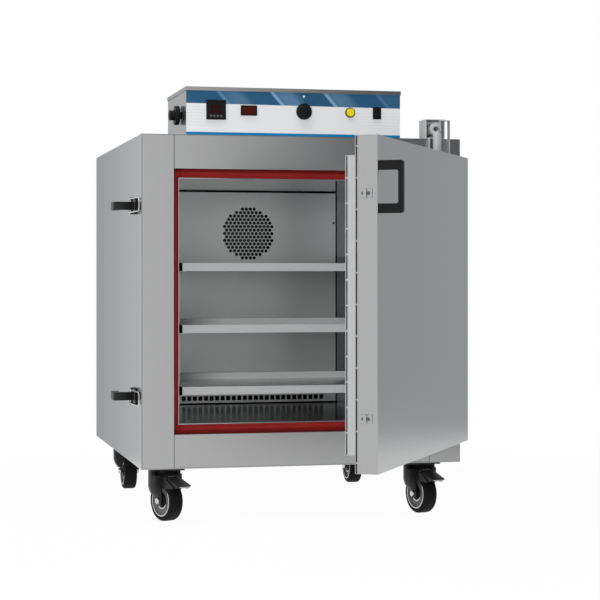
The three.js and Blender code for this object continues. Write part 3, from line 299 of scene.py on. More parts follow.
def satin_metal(name, colour, roughness, grain, contrast=0.03, metallic=1.0):
    """Sheet metal: a fine grain of the given turns to the metre, and slow cloudy variation."""
    cloud_scale, cloud_share = (5.0, 5.0, 5.0), 0.4
    grain_depth, grain_strength = 0.00002, 0.5
    material, tree = new_material(name)
    place = tree.object_place()
    fine = tree.noise(place, grain, 3.0)
    cloud = tree.noise(place, cloud_scale, 1.0)
    tone = fine * (1 - cloud_share) + cloud * cloud_share
    tree.principled({
        "Base Color": tree.mix(tone, shade(colour, 1 - contrast), shade(colour, 1 + contrast)),
        "Metallic": metallic,
        "Roughness": tone * (contrast * 2) + (roughness - contrast),
        "Normal": tree.bump(fine, grain_depth, grain_strength),
    })
    return material


def liner_sheet(name, colour):
    """Polished sheet of the inner box, rougher on its floor, with painted shade: its floor painted darker and
    the sheet behind the air baffle painted near-black.
    """
    foot_gap, return_depth, baffle_shade_gap = 0.002, 0.010, 0.004
    # Painted shade: the floor is painted darker, and the sheet behind the air baffle near-black
    contrast, floor_painted_tone, baffle_shade_tone = 0.03, 0.27, 0.05
    blur, grain_blur, floor_blur = 0.07, 0.06, 0.08
    grain_depth, grain_strength = 0.00001, 0.5
    material, tree = new_material(name)
    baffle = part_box("air_baffle")[0]
    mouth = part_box("chamber_liner")[0].y
    place = tree.object_place()
    _, y, z = tree.split(place)
    fine = tree.noise(place, liner_grain, 3.0)
    underfoot = (z < baffle.z - foot_gap) * (y > mouth + return_depth)
    walls = tree.mix(fine, shade(colour, 1 - contrast), shade(colour, 1 + contrast))
    seen = tree.mix(underfoot, walls, shade(colour, floor_painted_tone))
    tree.principled({
        # Painted shade: darker on the floor, near-black behind the air baffle
        "Base Color": tree.mix(y > baffle.y + baffle_shade_gap, seen, shade(colour, baffle_shade_tone)),
        "Metallic": 1.0,
        "Roughness": fine * grain_blur + underfoot * floor_blur + blur,
        "Normal": tree.bump(fine, grain_depth, grain_strength),
    })
    return material


def moulded(name, colour, roughness, depth, scale, specular=0.15):
    """Moulded plastic, rubber or enamel: a fine texture of the given depth and scale, and faint wear."""
    wear_scale, wear_dark, wear_light, wear_blur = (30.0, 30.0, 30.0), 0.85, 1.2, 0.12
    texture_strength = 0.6
    material, tree = new_material(name)
    place = tree.object_place()
    fine = tree.noise(place, (scale, scale, scale), 2.0)
    cloud = tree.noise(place, wear_scale, 3.0)
    tree.principled({
        "Base Color": tree.mix(cloud, shade(colour, wear_dark), shade(colour, wear_light)),
        "Metallic": 0.0,
        "Roughness": cloud * wear_blur + (roughness - wear_blur / 2),
        "Specular IOR Level": specular,
        "Normal": tree.bump(fine, depth, texture_strength),
    })
    return material


def perforated_tray(tray, colour, fittings, floor_painted_tone, polish):
    """Tray sheet whose floor is pierced by a staggered pattern of round holes."""
    margin, level = 0.012, 0.9
    # Painted shade and light: the front lips are painted darker than the colour, the rear lip lighter
    lip_dark, lip_light, rear_lip, rear_lip_painted_light = 0.78, 0.86, 0.004, 1.4
    blur, grain_blur, grain_depth, grain_strength = 0.18, 0.10, 0.00002, 0.4
    material, tree = new_material(f"{tray}_sheet")
    low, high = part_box(tray)
    place = tree.object_place()
    x, y, _ = tree.split(place)
    pitch, radius = fittings.perforation_pitch, fittings.perforation_radius
    row = pitch * math.sqrt(3)

    def gap(shift):
        across = (x + shift * pitch).wrap(pitch)
        along = (y + shift * row).wrap(row)
        return (across * across + along * along).math("SQRT")

    hole = gap(0.0).math("MINIMUM", gap(0.5)) < radius
    centre, half = (low + high) / 2, (high - low) / 2
    inside = (abs(x - centre.x) < half.x - margin) * (abs(y - centre.y) < half.y - margin)
    normal = tree.node("ShaderNodeNewGeometry", output="Normal")
    floor = inside * (abs(tree.split(normal)[2]) > level)
    fine = tree.noise(place, tray_grain, 2.0)
    lips = tree.mix(fine, shade(colour, lip_dark), shade(colour, lip_light))
    lips = tree.mix(y > high.y - rear_lip, lips, shade(colour, rear_lip_painted_light))
    tree.principled({
        # Painted light: the floor tone paints the lower tray's floor lighter
        "Base Color": tree.mix(floor, lips, shade(colour, floor_painted_tone)),
        "Metallic": floor * polish,
        "Roughness": fine * grain_blur + blur,
        "Alpha": 1 - hole * floor,
        "Normal": tree.bump(fine, grain_depth, grain_strength),
    })
    return material


def printed_panel(name, finishes):
    """Control panel: blue band with soft diagonal bars, plain field with short rules, blue foot stripe."""
    band_height, band_slope, stripe_height = 0.0308, 0.0030, 0.0063
    bar_step, bar_lean, narrow_shift = 0.25, 1.6, 0.055
    broad_edge, narrow_edge, bar_fade = (0.02, 0.075), (0.004, 0.014), (0.12, 0.5)
    broad_glow, narrow_glow, side_glow = 0.22, 0.5, 0.15
    rule_step, rule_height, rule_strength, rule_top, rule_foot = 0.0075, 0.0005, 0.35, 0.008, 0.010
    rule_fade = (0.20, 0.42)
    blur, print_blur, specular = 0.40, 0.08, 0.15
    print_scale, print_depth, print_strength = (900.0, 900.0, 900.0), 0.00001, 0.4
    material, tree = new_material(name)
    low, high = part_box("control_fascia")
    place = tree.object_place()
    x, _, z = tree.split(place)
    across = (x - low.x) / (high.x - low.x)
    band_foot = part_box("control_box_lid")[0].z - band_height - across * band_slope
    stripe_top = low.z + stripe_height
    lean = across + (z - band_foot) * bar_lean
    broad = lean.wrap(bar_step).ramp(*broad_edge, 1.0, 0.0)
    narrow = (lean + narrow_shift).wrap(bar_step).ramp(*narrow_edge, 1.0, 0.0)
    fade = abs(across - 0.5).ramp(*bar_fade, 1.0, side_glow)
    glow = (broad * broad_glow + narrow * narrow_glow) * fade
    band = tree.mix(glow, finishes.panel_blue, finishes.bar_blue)
    rules = (z - low.z).wrap(rule_step) < rule_height
    sides = abs(across - 0.5).ramp(*rule_fade)
    ruled = sides * (z < band_foot - rule_top) * (z > stripe_top + rule_foot)
    field = tree.mix(rules * ruled * rule_strength, finishes.panel_white, finishes.rule_grey)
    colour = tree.mix(z > band_foot, field, band)
    edge = tree.noise(place, print_scale, 2.0)
    tree.principled({
        "Base Color": tree.mix(z < stripe_top, colour, finishes.stripe_blue),
        "Roughness": edge * print_blur + blur,
        "Specular IOR Level": specular,
        "Normal": tree.bump(edge, print_depth, print_strength),
    })
    return material


def casing_finishes(finishes):
    """The finishes by name. The columns of moulded are roughness, texture depth and texture scale."""
    casing, bright, gloss = finishes.casing_steel, finishes.bright_steel, finishes.casing_gloss
    red = finishes.readout_red
    return {
        "upright": satin_metal("satin_steel_upright", casing, gloss, upright_grain),
        "level": satin_metal("satin_steel_level", casing, gloss, level_grain),
        "door": satin_metal("satin_steel_door", casing, gloss, upright_grain),
        "pan": satin_metal("door_pan_steel", bright, 0.36, pan_grain, metallic=0.6),
        # Painted shade: the lid is the casing steel painted 0.85 times as light
        "lid": satin_metal("satin_steel_lid", shade(casing, 0.85), gloss, level_grain),
        "fitting": satin_metal("fitting_steel", bright, 0.45, cast_grain, metallic=0.2),
        # Painted light: the vent housing is the bright steel painted 1.45 times lighter
        "vent": satin_metal("vent_steel_painted_light", shade(bright, 1.45), 0.45, cast_grain, metallic=0.2),
        "chrome": satin_metal("bright_chrome", finishes.chrome, 0.16, chrome_grain, contrast=0.02),
        "liner": liner_sheet("polished_liner", finishes.liner_steel),
        "baffle": satin_metal("satin_baffle", finishes.baffle_steel, 0.22, baffle_grain, metallic=0.65),
        "seal": moulded("red_silicone", finishes.seal_red, 0.48, 0.00005, 900.0),
        "moulding": moulded("black_moulding", finishes.black_moulding, 0.42, 0.00006, 1100.0),
        "enamel": moulded("black_enamel", finishes.black_enamel, 0.42, 0.00003, 700.0, specular=0.3),
        "tyre": moulded("tyre_rubber", finishes.tyre_black, 0.62, 0.00008, 600.0, specular=0.12),
        "rim": moulded("rim_grey", finishes.rim_grey, 0.40, 0.00003, 700.0, specular=0.3),
        "lens": moulded("yellow_lens", finishes.lens_yellow, 0.22, 0.00001, 300.0, specular=0.3),
        "readout": moulded("readout_window", red, 0.12, 0.000005, 300.0, specular=0.1),
        "dim_readout": moulded("dim_readout", shade(red, 0.35), 0.12, 0.000005, 300.0, specular=0.1),
        "wool": moulded("mineral_wool", finishes.wool_yellow, 0.9, 0.0004, 300.0),
        "dark_metal": moulded("dark_metal", finishes.dark_metal, 0.6, 0.00005, 500.0, specular=0.1),
        "shadow": moulded("matt_black", finishes.matt_black, 0.9, 0.00003, 500.0, specular=0.02),
        "lever": moulded("lever_black", finishes.lever_black, 0.45, 0.00006, 1100.0, specular=0.18),
        "mark": moulded("printed_mark", finishes.mark_grey, 0.5, 0.00001, 500.0),
        "key": moulded("grey_key", finishes.key_grey, 0.5, 0.00002, 500.0),
        "panel": printed_panel("printed_panel", finishes),
    }


def assign(node, material):
    """Gives a CAD node its finish as it stands."""
    materials = frame["nodes"][node].data.materials
    materials.clear()
    materials.append(material)


def slim(face):
    """Area over perimeter: about half the width of a long strip."""
    return face.calc_area() / max(face.calc_perimeter(), 1e-9)


def mesh_of(name, bm, *materials):
    mesh = bpy.data.meshes.new(name)
    bm.to_mesh(mesh)
    bm.free()
    for material in materials:
        mesh.materials.append(material)
    return mesh


def placed(name, data):
    piece = bpy.data.objects.new(name, data)
    bpy.context.scene.collection.objects.link(piece)
    return piece


def finished(name, bm, body, *materials, flat=0.0):
    """Makes a bmesh into a piece that rides on a body, smooth over its gentle edges.

    With a flat width, only the roundings slimmer than it are smooth, so that broad faces stay flat.
    """
    for face in bm.faces:
        face.smooth = not flat or (face.smooth and slim(face) < flat)
    mesh = mesh_of(name, bm, *materials)
    if not flat:
        mesh.set_sharp_from_angle(angle=smooth_angle)
    piece = placed(name, mesh)
    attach(piece, body)
    return piece


def copied(node):
    """A merged copy of a CAD node's mesh."""
    bm = bmesh.new()
    bm.from_mesh(frame["nodes"][node].data)
    bmesh.ops.remove_doubles(bm, verts=bm.verts, dist=weld)
    return bm


def bevel_edges(bm, edges, offset, segments):
    if edges:
        made = bmesh.ops.bevel(
            bm, geom=edges, offset=offset, offset_type="OFFSET", segments=segments, profile=0.5,
            affect="EDGES", clamp_overlap=True, material=-1,
        )
        for face in made["faces"]:
            face.smooth = True


def rounded(node, material, offset, rim=0.0, segments=2, sheet=False, other=None, chosen_faces=None):
    """A copy of a CAD node with its convex edges rounded: wide faces by offset, narrow ones by rim."""
    bm = copied(node)
    bmesh.ops.dissolve_limit(
        bm, angle_limit=flat_angle, verts=bm.verts, edges=bm.edges, delimit={"NORMAL"}
    )
    for face in bm.faces:
        face.smooth = False

    def sharp(edge):
        return len(edge.link_faces) == 2 and edge.is_convex and edge.calc_face_angle(0) > sharp_angle

    def chosen(reach):
        room = reach * bevel_room
        return [e for e in bm.edges if sharp(e) and min(slim(f) for f in e.link_faces) > room]

    bevel_edges(bm, chosen(offset), offset, segments)
    if rim:
        bevel_edges(bm, [e for e in chosen(rim) if e.calc_length() > rim * shortest_rim], rim, 1)
    materials = [material]
    if chosen_faces:
        materials.append(other)
        for face in bm.faces:
            face.material_index = int(chosen_faces(face.calc_center_median()))
    piece = finished(f"{node}_finish", bm, body_of[node], *materials, flat=offset if sheet else 0.0)
    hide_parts(node)


def facing(axis, centre):
    """Matrix that takes +Z to an axis and the origin to a point."""
    return Matrix.Translation(Vector(centre)) @ Vector(axis).to_track_quat("Z", "Y").to_matrix().to_4x4()


def cuboid(bm, size, place):
    """Adds a box whose middle is put in place by a matrix, and gives back its corners."""
    verts = bmesh.ops.create_cube(bm, size=1)["verts"]
    bmesh.ops.transform(bm, matrix=place @ Matrix.Diagonal((*size, 1)), verts=verts)
    return verts


def lathe(bm, profile, axis, centre, steps):
    """Turns a closed or axis-to-axis profile of (radius, along) about an axis through a point.

    The vertices that are already in the bmesh carry a tag, and so do the new ones afterwards.
    """
    verts = [bm.verts.new((radius, 0, along)) for radius, along in profile]
    edges = [bm.edges.new(pair) for pair in zip(verts, verts[1:])]
    bmesh.ops.spin(
        bm, geom=verts + edges, cent=(0, 0, 0), axis=(0, 0, 1), angle=math.tau, steps=steps, use_merge=True
    )
    turned = [vert for vert in bm.verts if not vert.tag]
    bmesh.ops.remove_doubles(bm, verts=turned, dist=weld * 2)
    turned = [vert for vert in bm.verts if not vert.tag]
    faces = list({face for vert in turned for face in vert.link_faces})
    bmesh.ops.recalc_face_normals(bm, faces=faces)
    bmesh.ops.transform(bm, matrix=facing(axis, centre), verts=turned)
    for vert in turned:
        vert.tag = True


def pan_head(bm, centre, axis, radius):
    """A pan head screw with a cross on top, standing on a surface."""
    height, steps = radius * 0.7, 20
    sunk, wall, flat = -height * 0.2, height * 0.45, radius * 0.7
    arm = (radius * 1.1, radius * 0.22, height * 0.1)
    lathe(bm, [(0, sunk), (radius, sunk), (radius, wall), (flat, height), (0, height)], axis, centre, steps)
    lift = Matrix.Translation((0, 0, height * 1.02))
    for turn in (0, math.pi / 2):
        for vert in cuboid(bm, arm, facing(axis, centre) @ lift @ Matrix.Rotation(turn, 4, "Z")):
            vert.tag = True


class PieceOperator:
    """What the operators share: the finishes and the settings."""

    bl_options = {"REGISTER"}
    finishes_made = {}

    def execute(self, context):
        scene = context.scene
        if not PieceOperator.finishes_made:
            PieceOperator.finishes_made.update(casing_finishes(scene.sterilizer_finishes))
        self.finish = PieceOperator.finishes_made
        self.fittings = scene.sterilizer_fittings
        self.stage = scene.sterilizer_stage
        self.build(scene)
        return {"FINISHED"}

    def folded(self, node, material, **others):
        """A sheet piece with rounded folds and cut edges."""
        rounded(node, material, self.fittings.fold_radius, self.fittings.rim_radius, sheet=True, **others)


class STERILIZER_OT_casing(PieceOperator, bpy.types.Operator):
    """Casing sheets with rounded folds"""

    bl_idname = "sterilizer.casing"
    bl_label = "Casing"

    def build(self, scene):
        for node in ("cabinet_wrap", "front_column_left", "front_column_right"):
            self.folded(node, self.finish["upright"])
        for node in ("top_rail", "bottom_rail"):
            self.folded(node, self.finish["level"])
        assign("rear_panel", self.finish["upright"])
        assign("base_panel", self.finish["level"])


class STERILIZER_OT_chamber(PieceOperator, bpy.types.Operator):
    """Liner, seal, baffle, racks, fan and heater"""

    bl_idname = "sterilizer.chamber"
    bl_label = "Chamber"

    seal_round = 0.0022
    seal_strip, joint_width, joint_depth, joint_share, joint_proud = 0.0205, 0.0012, 0.001, 0.72, 0.0001
    hole_reach, hole_widening = 0.0055, 1.18
    slot_reach, slot_shift = 0.02, 0.006
    wall_lean = 0.1
    screw_inset, screw_heights = 0.0055, (0.321, 0.750)

    def build(self, scene):
        assign("chamber_liner", self.finish["liner"])
        assign("insulation", self.finish["wool"])
        rounded("door_seal", self.finish["seal"], self.seal_round, segments=3)
        self.seal_joints()
        self.baffle()
        for node in ("shelf_rack_left", "shelf_rack_right"):
            assign(node, self.finish["fitting"])
        # Near-black as painted shade behind the air baffle
        for node in ("fan_motor", "heater_element", "fan_impeller"):
            assign(node, self.finish["dark_metal"])
        self.baffle_screws()

    def baffle(self):
        """The air baffle, with its round holes opened a little and its outlet slots moved along the plate."""
        bm = copied("air_baffle")
        widen = Matrix.Diagonal((self.hole_widening, 1, self.hole_widening, 1))
        for verts in self.openings(bm):
            centre = sum((vert.co for vert in verts), Vector()) / len(verts)
            reach = max((vert.co - centre).xz.length for vert in verts)
            if reach < self.hole_reach:
                bmesh.ops.transform(bm, matrix=widen, space=Matrix.Translation(-centre), verts=verts)
            elif reach < self.slot_reach:
                bmesh.ops.translate(bm, vec=(self.slot_shift, 0, 0), verts=verts)
        plate = finished("air_baffle_finish", bm, "cabinet", self.finish["baffle"])
        plate.data.shade_flat()
        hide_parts("air_baffle")

    def openings(self, bm):
        """The vertices round each opening that goes through a front plate."""
        walls = {face for face in bm.faces if abs(face.normal.y) < self.wall_lean}
        while walls:
            group, front = set(), [walls.pop()]
            while front:
                face = front.pop()
                group.add(face)
                near = {other for edge in face.edges for other in edge.link_faces} & walls
                walls -= near
                front.extend(near)
            yield list({vert for face in group for vert in face.verts})

    def baffle_screws(self):
        low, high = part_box("air_baffle")
        bm = bmesh.new()
        for x in (low.x + self.screw_inset, high.x - self.screw_inset):
            for z in self.screw_heights:
                pan_head(bm, (x, low.y, z), (0, -1, 0), self.fittings.screw_radius)
        finished("baffle_screws", bm, "cabinet", self.finish["dark_metal"])

    def seal_joints(self):
        """Narrow butt joints where the upright strips of the seal meet the level ones."""
        low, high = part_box("door_seal")
        width, depth, proud = self.seal_strip, self.joint_depth, self.joint_proud
        size = (self.joint_width, depth + proud, width * self.joint_share)
        bm = bmesh.new()
        for x in (low.x + width, high.x - width):
            for z in (low.z + width / 2, high.z - width / 2):
                cuboid(bm, size, Matrix.Translation((x, low.y + (depth - proud) / 2, z)))
        finished("seal_joints", bm, "cabinet", self.finish["shadow"])


class STERILIZER_OT_trays(PieceOperator, bpy.types.Operator):
    """Perforated trays with upturned lips"""

    bl_idname = "sterilizer.trays"
    bl_label = "Trays"

    # Tone and polish of each tray's floor: the lower tray's floor is painted 2.1 times lighter and polished,
    # as painted light
    floors = {"shelf_lower": (2.1, 1), "shelf_middle": (1, 0), "shelf_upper": (1, 0)}
    block_clearance = 0.0006

    def build(self, scene):
        colour = scene.sterilizer_finishes.bright_steel
        for node, (tone, polish) in self.floors.items():
            assign(node, perforated_tray(node, colour, self.fittings, tone, polish))
        for side in ("left", "right"):
            self.black_gap_blocks(side)

    def black_gap_blocks(self, side):
        """Near-black blocks that fill the gaps between the ends of the rack's ledges and the trays' front
        lips.
        """
        rack_low, rack_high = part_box(f"shelf_rack_{side}")
        gap = self.block_clearance
        bm = bmesh.new()
        for node in self.floors:
            low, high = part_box(node)
            across = (rack_low.x, low.x - gap) if side == "left" else (high.x + gap, rack_high.x)
            size = (across[1] - across[0], rack_low.y - low.y - gap, high.z - low.z)
            centre = (sum(across) / 2, (low.y + rack_low.y - gap) / 2, (low.z + high.z) / 2)
            cuboid(bm, size, Matrix.Translation(centre))
        finished(f"tray_gap_blocks_{side}", bm, "cabinet", self.finish["shadow"])


class STERILIZER_OT_controls(PieceOperator, bpy.types.Operator):
    """Control box, instruments, knob, button, rocker and cord gland"""

    bl_idname = "sterilizer.controls"
    bl_label = "Control box"

    case_round, small_round, gland_round = 0.0008, 0.0006, 0.0012
    pad_round = 0.0005
    face_inset = 0.0015
    readout_width, readout_proud = 0.026, 0.0004
    readout_rows = ((0.0095, 0.0072), (0.0082, -0.0035))
    key_size, key_proud, key_pitch, key_drop, key_count = (0.0058, 0.0042), 0.0007, 0.0086, 0.0150, 4
    window_size, window_proud, window_inset = (0.0335, 0.0185), 0.0005, 0.001
    mark_radius, mark_depth, mark_rise, mark_proud = 0.0042, 0.0006, 0.0375, 0.0001

    def build(self, scene):
        finish = self.finish
        assign("control_box_body", finish["upright"])
        self.folded("control_box_lid", finish["lid"])
        assign("control_fascia", finish["panel"])
        rounded("temperature_controller", finish["moulding"], self.case_round)
        rounded("alarm_display", finish["moulding"], self.small_round)
        rounded("rocker_frame", finish["moulding"], self.small_round)
        rounded("rocker_switch", finish["moulding"], self.case_round)
        rounded("push_button_bezel", finish["moulding"], self.case_round)
        rounded("push_button", finish["lens"], self.case_round, segments=3)
        rounded("mains_inlet", finish["moulding"], self.gland_round)
        self.controller_face()
        self.display_window()
        self.knob()
        self.knob_mark()

    def controller_face(self):
        low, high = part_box("temperature_controller")
        centre = (low + high) / 2
        face = low.y + self.face_inset
        bm = bmesh.new()
        for height, lift in self.readout_rows:
            place = (centre.x, face, centre.z + lift)
            self.pad(bm, place, (self.readout_width, height), self.readout_proud)
        finished("controller_readouts", bm, "cabinet", self.finish["dim_readout"])
        bm = bmesh.new()
        for i in range(self.key_count):
            along = (i - (self.key_count - 1) / 2) * self.key_pitch
            self.pad(bm, (centre.x + along, face, centre.z - self.key_drop), self.key_size, self.key_proud)
        finished("controller_keys", bm, "cabinet", self.finish["key"])

    def display_window(self):
        low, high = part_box("alarm_display")
        centre = (low + high) / 2
        bm = bmesh.new()
        place = (centre.x, low.y + self.window_inset, centre.z)
        self.pad(bm, place, self.window_size, self.window_proud)
        finished("display_window", bm, "cabinet", self.finish["readout"])

    def pad(self, bm, centre, size, proud):
        """A thin rounded pad on a front face."""
        verts = cuboid(bm, (size[0], proud * 2, size[1]), Matrix.Translation(centre))
        edges = {edge for vert in verts for edge in vert.link_edges}
        deep = [edge for edge in edges if abs((edge.verts[0].co - edge.verts[1].co).y) > proud]
        bevel_edges(bm, deep, self.pad_round, 2)

    def knob(self):
        """Turned knob: a brim on the panel, a narrower body and a ridge across it."""
        centre = Vector(joints["knob_turn"]["pos_m"])
        low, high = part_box("selector_knob")
        radius = (high.x - low.x) / 2
        depth = centre.y - low.y
        brim, waist = depth * 0.30, radius * 0.78
        gap, foot, chamfer, corner, cove = 0.0003, 0.001, 0.0006, 0.0008, 0.002
        shoulder, crown, top = (waist * 0.96, depth * 0.90), (waist * 0.90, depth * 0.955), depth * 0.96
        ridge_size, ridge_depth = (radius * 0.5, depth * 0.66, radius * 1.96), depth * 0.67
        ridge_round = radius * 0.12
        bm = bmesh.new()
        profile = [
            (0, gap), (radius - chamfer, gap), (radius, foot),
            (radius, brim - corner), (radius - corner, brim),
            (waist + corner, brim + chamfer), (waist, brim + cove),
            shoulder, crown, (0, top),
        ]
        lathe(bm, profile, (0, -1, 0), centre, 64)
        ridge = cuboid(bm, ridge_size, Matrix.Translation(centre - Vector((0, ridge_depth, 0))))
        bevel_edges(bm, list({edge for vert in ridge for edge in vert.link_edges}), ridge_round, 3)
        knob = finished("selector_knob_finish", bm, "knob", self.finish["moulding"])
        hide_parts("selector_knob")

    def knob_mark(self):
        """Small triangle on the panel over the knob, pointing down at it."""
        centre = joints["knob_turn"]["pos_m"]
        bm = bmesh.new()
        shape = bmesh.ops.create_cone(
            bm, cap_ends=True, segments=3, radius1=self.mark_radius, radius2=self.mark_radius,
            depth=self.mark_depth,
        )["verts"]
        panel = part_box("control_fascia")[0].y
        place = Matrix.Translation((centre[0], panel - self.mark_proud, centre[2] + self.mark_rise))
        turn = Matrix.Rotation(math.radians(90), 4, "X") @ Matrix.Rotation(math.radians(180), 4, "Z")
        bmesh.ops.transform(bm, matrix=place @ turn, verts=shape)
        finished("knob_pointer_mark", bm, "cabinet", self.finish["mark"])


class STERILIZER_OT_vent(PieceOperator, bpy.types.Operator):
    """Vent housing, pipe and strap bracket"""

    bl_idname = "sterilizer.vent"
    bl_label = "Vent"

    pipe_round, strap_round, strap_sheet = 0.0008, 0.0004, 0.002

    def build(self, scene):
        assign("vent_housing", self.finish["vent"])
        rounded("vent_pipe", self.finish["fitting"], self.pipe_round)
        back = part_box("vent_bracket")[1].y - self.strap_sheet
        rounded(
            "vent_bracket", self.finish["fitting"], self.strap_round, sheet=True,
            other=self.finish["upright"], chosen_faces=lambda place: place.y > back,
        )


class STERILIZER_OT_door(PieceOperator, bpy.types.Operator):
    """Door shell, inner pan, handle, keepers and hinges"""

    bl_idname = "sterilizer.door"
    bl_label = "Door"

    swing = -math.radians(joints["door_hinge"]["range_deg"][0])
    skin = 0.0006
    handle_round, keeper_round, hinge_round = 0.0035, 0.0004, 0.0008
    screw_steps, screw_sunk, screw_share = (-0.0048, 0.0068), 0.0002, 1.15

    def build(self, scene):
        finish = self.finish
        self.folded("door_shell", finish["door"], other=finish["shadow"], chosen_faces=self.hollow())
        self.folded("door_plug", finish["pan"])
        rounded("door_handle", finish["moulding"], self.handle_round, segments=4)
        for level in levels:
            rounded(f"keeper_{level}", finish["door"], self.keeper_round, sheet=True)
            rounded(f"hinge_bracket_{level}", finish["fitting"], self.hinge_round)
        self.keeper_screws()

    def hollow(self):
        """Tells which faces of the door's shell lie inside the hollow of the door."""
        pivot = Vector(joints["door_hinge"]["pos_m"])
        shut = Matrix.Rotation(-self.swing, 4, "Z") @ Matrix.Translation(-pivot)
        places = [shut @ vert.co for vert in frame["nodes"]["door_shell"].data.vertices]
        lows, highs = [[pick(place[i] for place in places) for i in range(3)] for pick in (min, max)]

        def within(place):
            sides = zip(lows, shut @ place, highs)
            return all(low + self.skin < side < high - self.skin for low, side, high in sides)

        return within

    def keeper_screws(self):
        """Two screws in each keeper, on the door's free edge."""
        cos, sin = math.cos(self.swing), math.sin(self.swing)
        outward, along = Vector((-cos, -sin, 0)), Vector((sin, -cos, 0))
        radius = self.fittings.screw_radius * self.screw_share
        bm = bmesh.new()
        for level in levels:
            low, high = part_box(f"keeper_{level}")
            for step in self.screw_steps:
                place = (low + high) / 2 + along * step + outward * -self.screw_sunk
                pan_head(bm, place, outward, radius)
        finished("keeper_screws", bm, "door", self.finish["key"])


class STERILIZER_OT_latches(PieceOperator, bpy.types.Operator):
    """Side latches"""

    bl_idname = "sterilizer.latches"
    bl_label = "Latches"

    base_round, lever_round = 0.0005, 0.0016

    def build(self, scene):
        for level in levels:
            rounded(f"latch_base_{level}", self.finish["moulding"], self.base_round)
            rounded(f"latch_lever_{level}", self.finish["lever"], self.lever_round, segments=3)
            assign(f"latch_bail_{level}", self.finish["chrome"])


class STERILIZER_OT_casters(PieceOperator, bpy.types.Operator):
    """Swivel casters with brake pedals"""

    bl_idname = "sterilizer.casters"
    bl_label = "Casters"

    plate_round, fork_round, pedal_round = 0.0006, 0.0007, 0.0012
    fork_gap, axle_head_radius = 0.0052, 0.0085
    # Tyre from the rim outwards: depth under the tread, inset from the wheel's side
    tyre_side = ((0.011, 0.001), (0.0095, 0), (0.0060, 0), (0.0025, 0.0015), (0.0005, 0.0045), (0, 0.0085))
    tyre_depth = 0.0115
    web_inset, web_bore, rim_band, rim_inset = 0.005, 0.0175, 0.004, 0.0012
    hub_bore, hub_radius, hub_foot, hub_inset = 0.0053, 0.0150, 0.0172, 0.001
    ring_sheet, ring_width, rim_ring, hub_ring = 0.0016, 0.0024, 0.0360, 0.0180
    rim_ring_inset, hub_ring_lift = 0.0003, 0.0012
    strip_size, strip_forward, strip_drop = (0.027, 0.005, 0.0024), 0.0392, 0.0022

    def build(self, scene):
        for corner in corners:
            rounded(f"caster_plate_{corner}", self.finish["enamel"], self.plate_round)
            self.fork(corner)
            self.wheel(corner)
        for corner in braked_corners:
            rounded(f"brake_pedal_{corner}", self.finish["enamel"], self.pedal_round)
            self.pedal_strip(corner)

    def sizes(self):
        """Radius and half width of the wheels, from one that stands square to the oven."""
        low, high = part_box("caster_wheel_rear_left")
        return (high.z - low.z) / 2, (high.x - low.x) / 2

    def axle(self, corner):
        roll = joints[f"roll_{corner}"]
        return Vector(roll["pos_m"]), Vector(roll["axis"])

    def fork(self, corner):
        """Enamelled fork with bare axle heads."""
        centre, axle = self.axle(corner)
        outer = self.sizes()[1] + self.fork_gap

        def on_axle_head(place):
            offset = place - centre
            along = offset.dot(axle)
            return abs(along) > outer and (offset - axle * along).length < self.axle_head_radius

        rounded(
            f"caster_fork_{corner}", self.finish["enamel"], self.fork_round,
            other=self.finish["chrome"], chosen_faces=on_axle_head,
        )

    def turned(self, name, corner, near, closing, steps, finish):
        """A ring of the wheel, from its profile on one side: the other side mirrors it."""
        centre, axle = self.axle(corner)
        bm = bmesh.new()
        far = [(radius, -along) for radius, along in reversed(near)]
        lathe(bm, [*near, *far, *closing, near[0]], axle, centre, steps)
        return finished(f"{name}_{corner}", bm, f"wheel_{corner}", self.finish[finish])

    def wheel(self, corner):
        radius, half = self.sizes()
        web, rim = half - self.web_inset, radius - self.tyre_depth
        side = [(radius - depth, inset - half) for depth, inset in self.tyre_side]
        tyre = self.turned("tyre", corner, side, [(rim, 0)], 72, "tyre")
        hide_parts(f"caster_wheel_{corner}")
        face = [(self.web_bore, -web), (rim - self.rim_band, -web), (rim, self.rim_inset - half)]
        self.turned("rim", corner, face, [], 64, "rim")
        front = self.hub_inset - half
        face = [(self.hub_bore, front), (self.hub_radius, front), (self.hub_foot, -web)]
        self.turned("hub", corner, face, [], 48, "moulding")
        self.rings(corner, half - self.rim_ring_inset, web + self.hub_ring_lift)

    def rings(self, corner, rim_face, hub_face):
        """Bright rings round the rim and the hub, on both sides of the wheel."""
        centre, axle = self.axle(corner)
        bm = bmesh.new()
        for side in (-1, 1):
            for inner, top in ((self.rim_ring, rim_face), (self.hub_ring, hub_face)):
                outer, foot = inner + self.ring_width, top - self.ring_sheet
                ring = [(inner, foot), (outer, foot), (outer, top), (inner, top), (inner, foot)]
                lathe(bm, ring, axle * side, centre, 56)
        finished(f"rim_rings_{corner}", bm, f"wheel_{corner}", self.finish["chrome"])

    def pedal_strip(self, corner):
        """The steel lever that shows under the pedal's tread."""
        up = Vector((0, 0, 1))
        pivot, axle = (Vector(joints[f"pedal_pivot_{corner}"][key]) for key in ("pos_m", "axis"))
        forward = axle.cross(up)
        turn = Matrix((axle, -forward, up)).transposed().to_4x4()
        place = Matrix.Translation(pivot + forward * self.strip_forward - up * self.strip_drop)
        bm = bmesh.new()
        cuboid(bm, self.strip_size, place @ turn)
        finished(f"pedal_strip_{corner}", bm, f"pedal_{corner}", self.finish["chrome"])


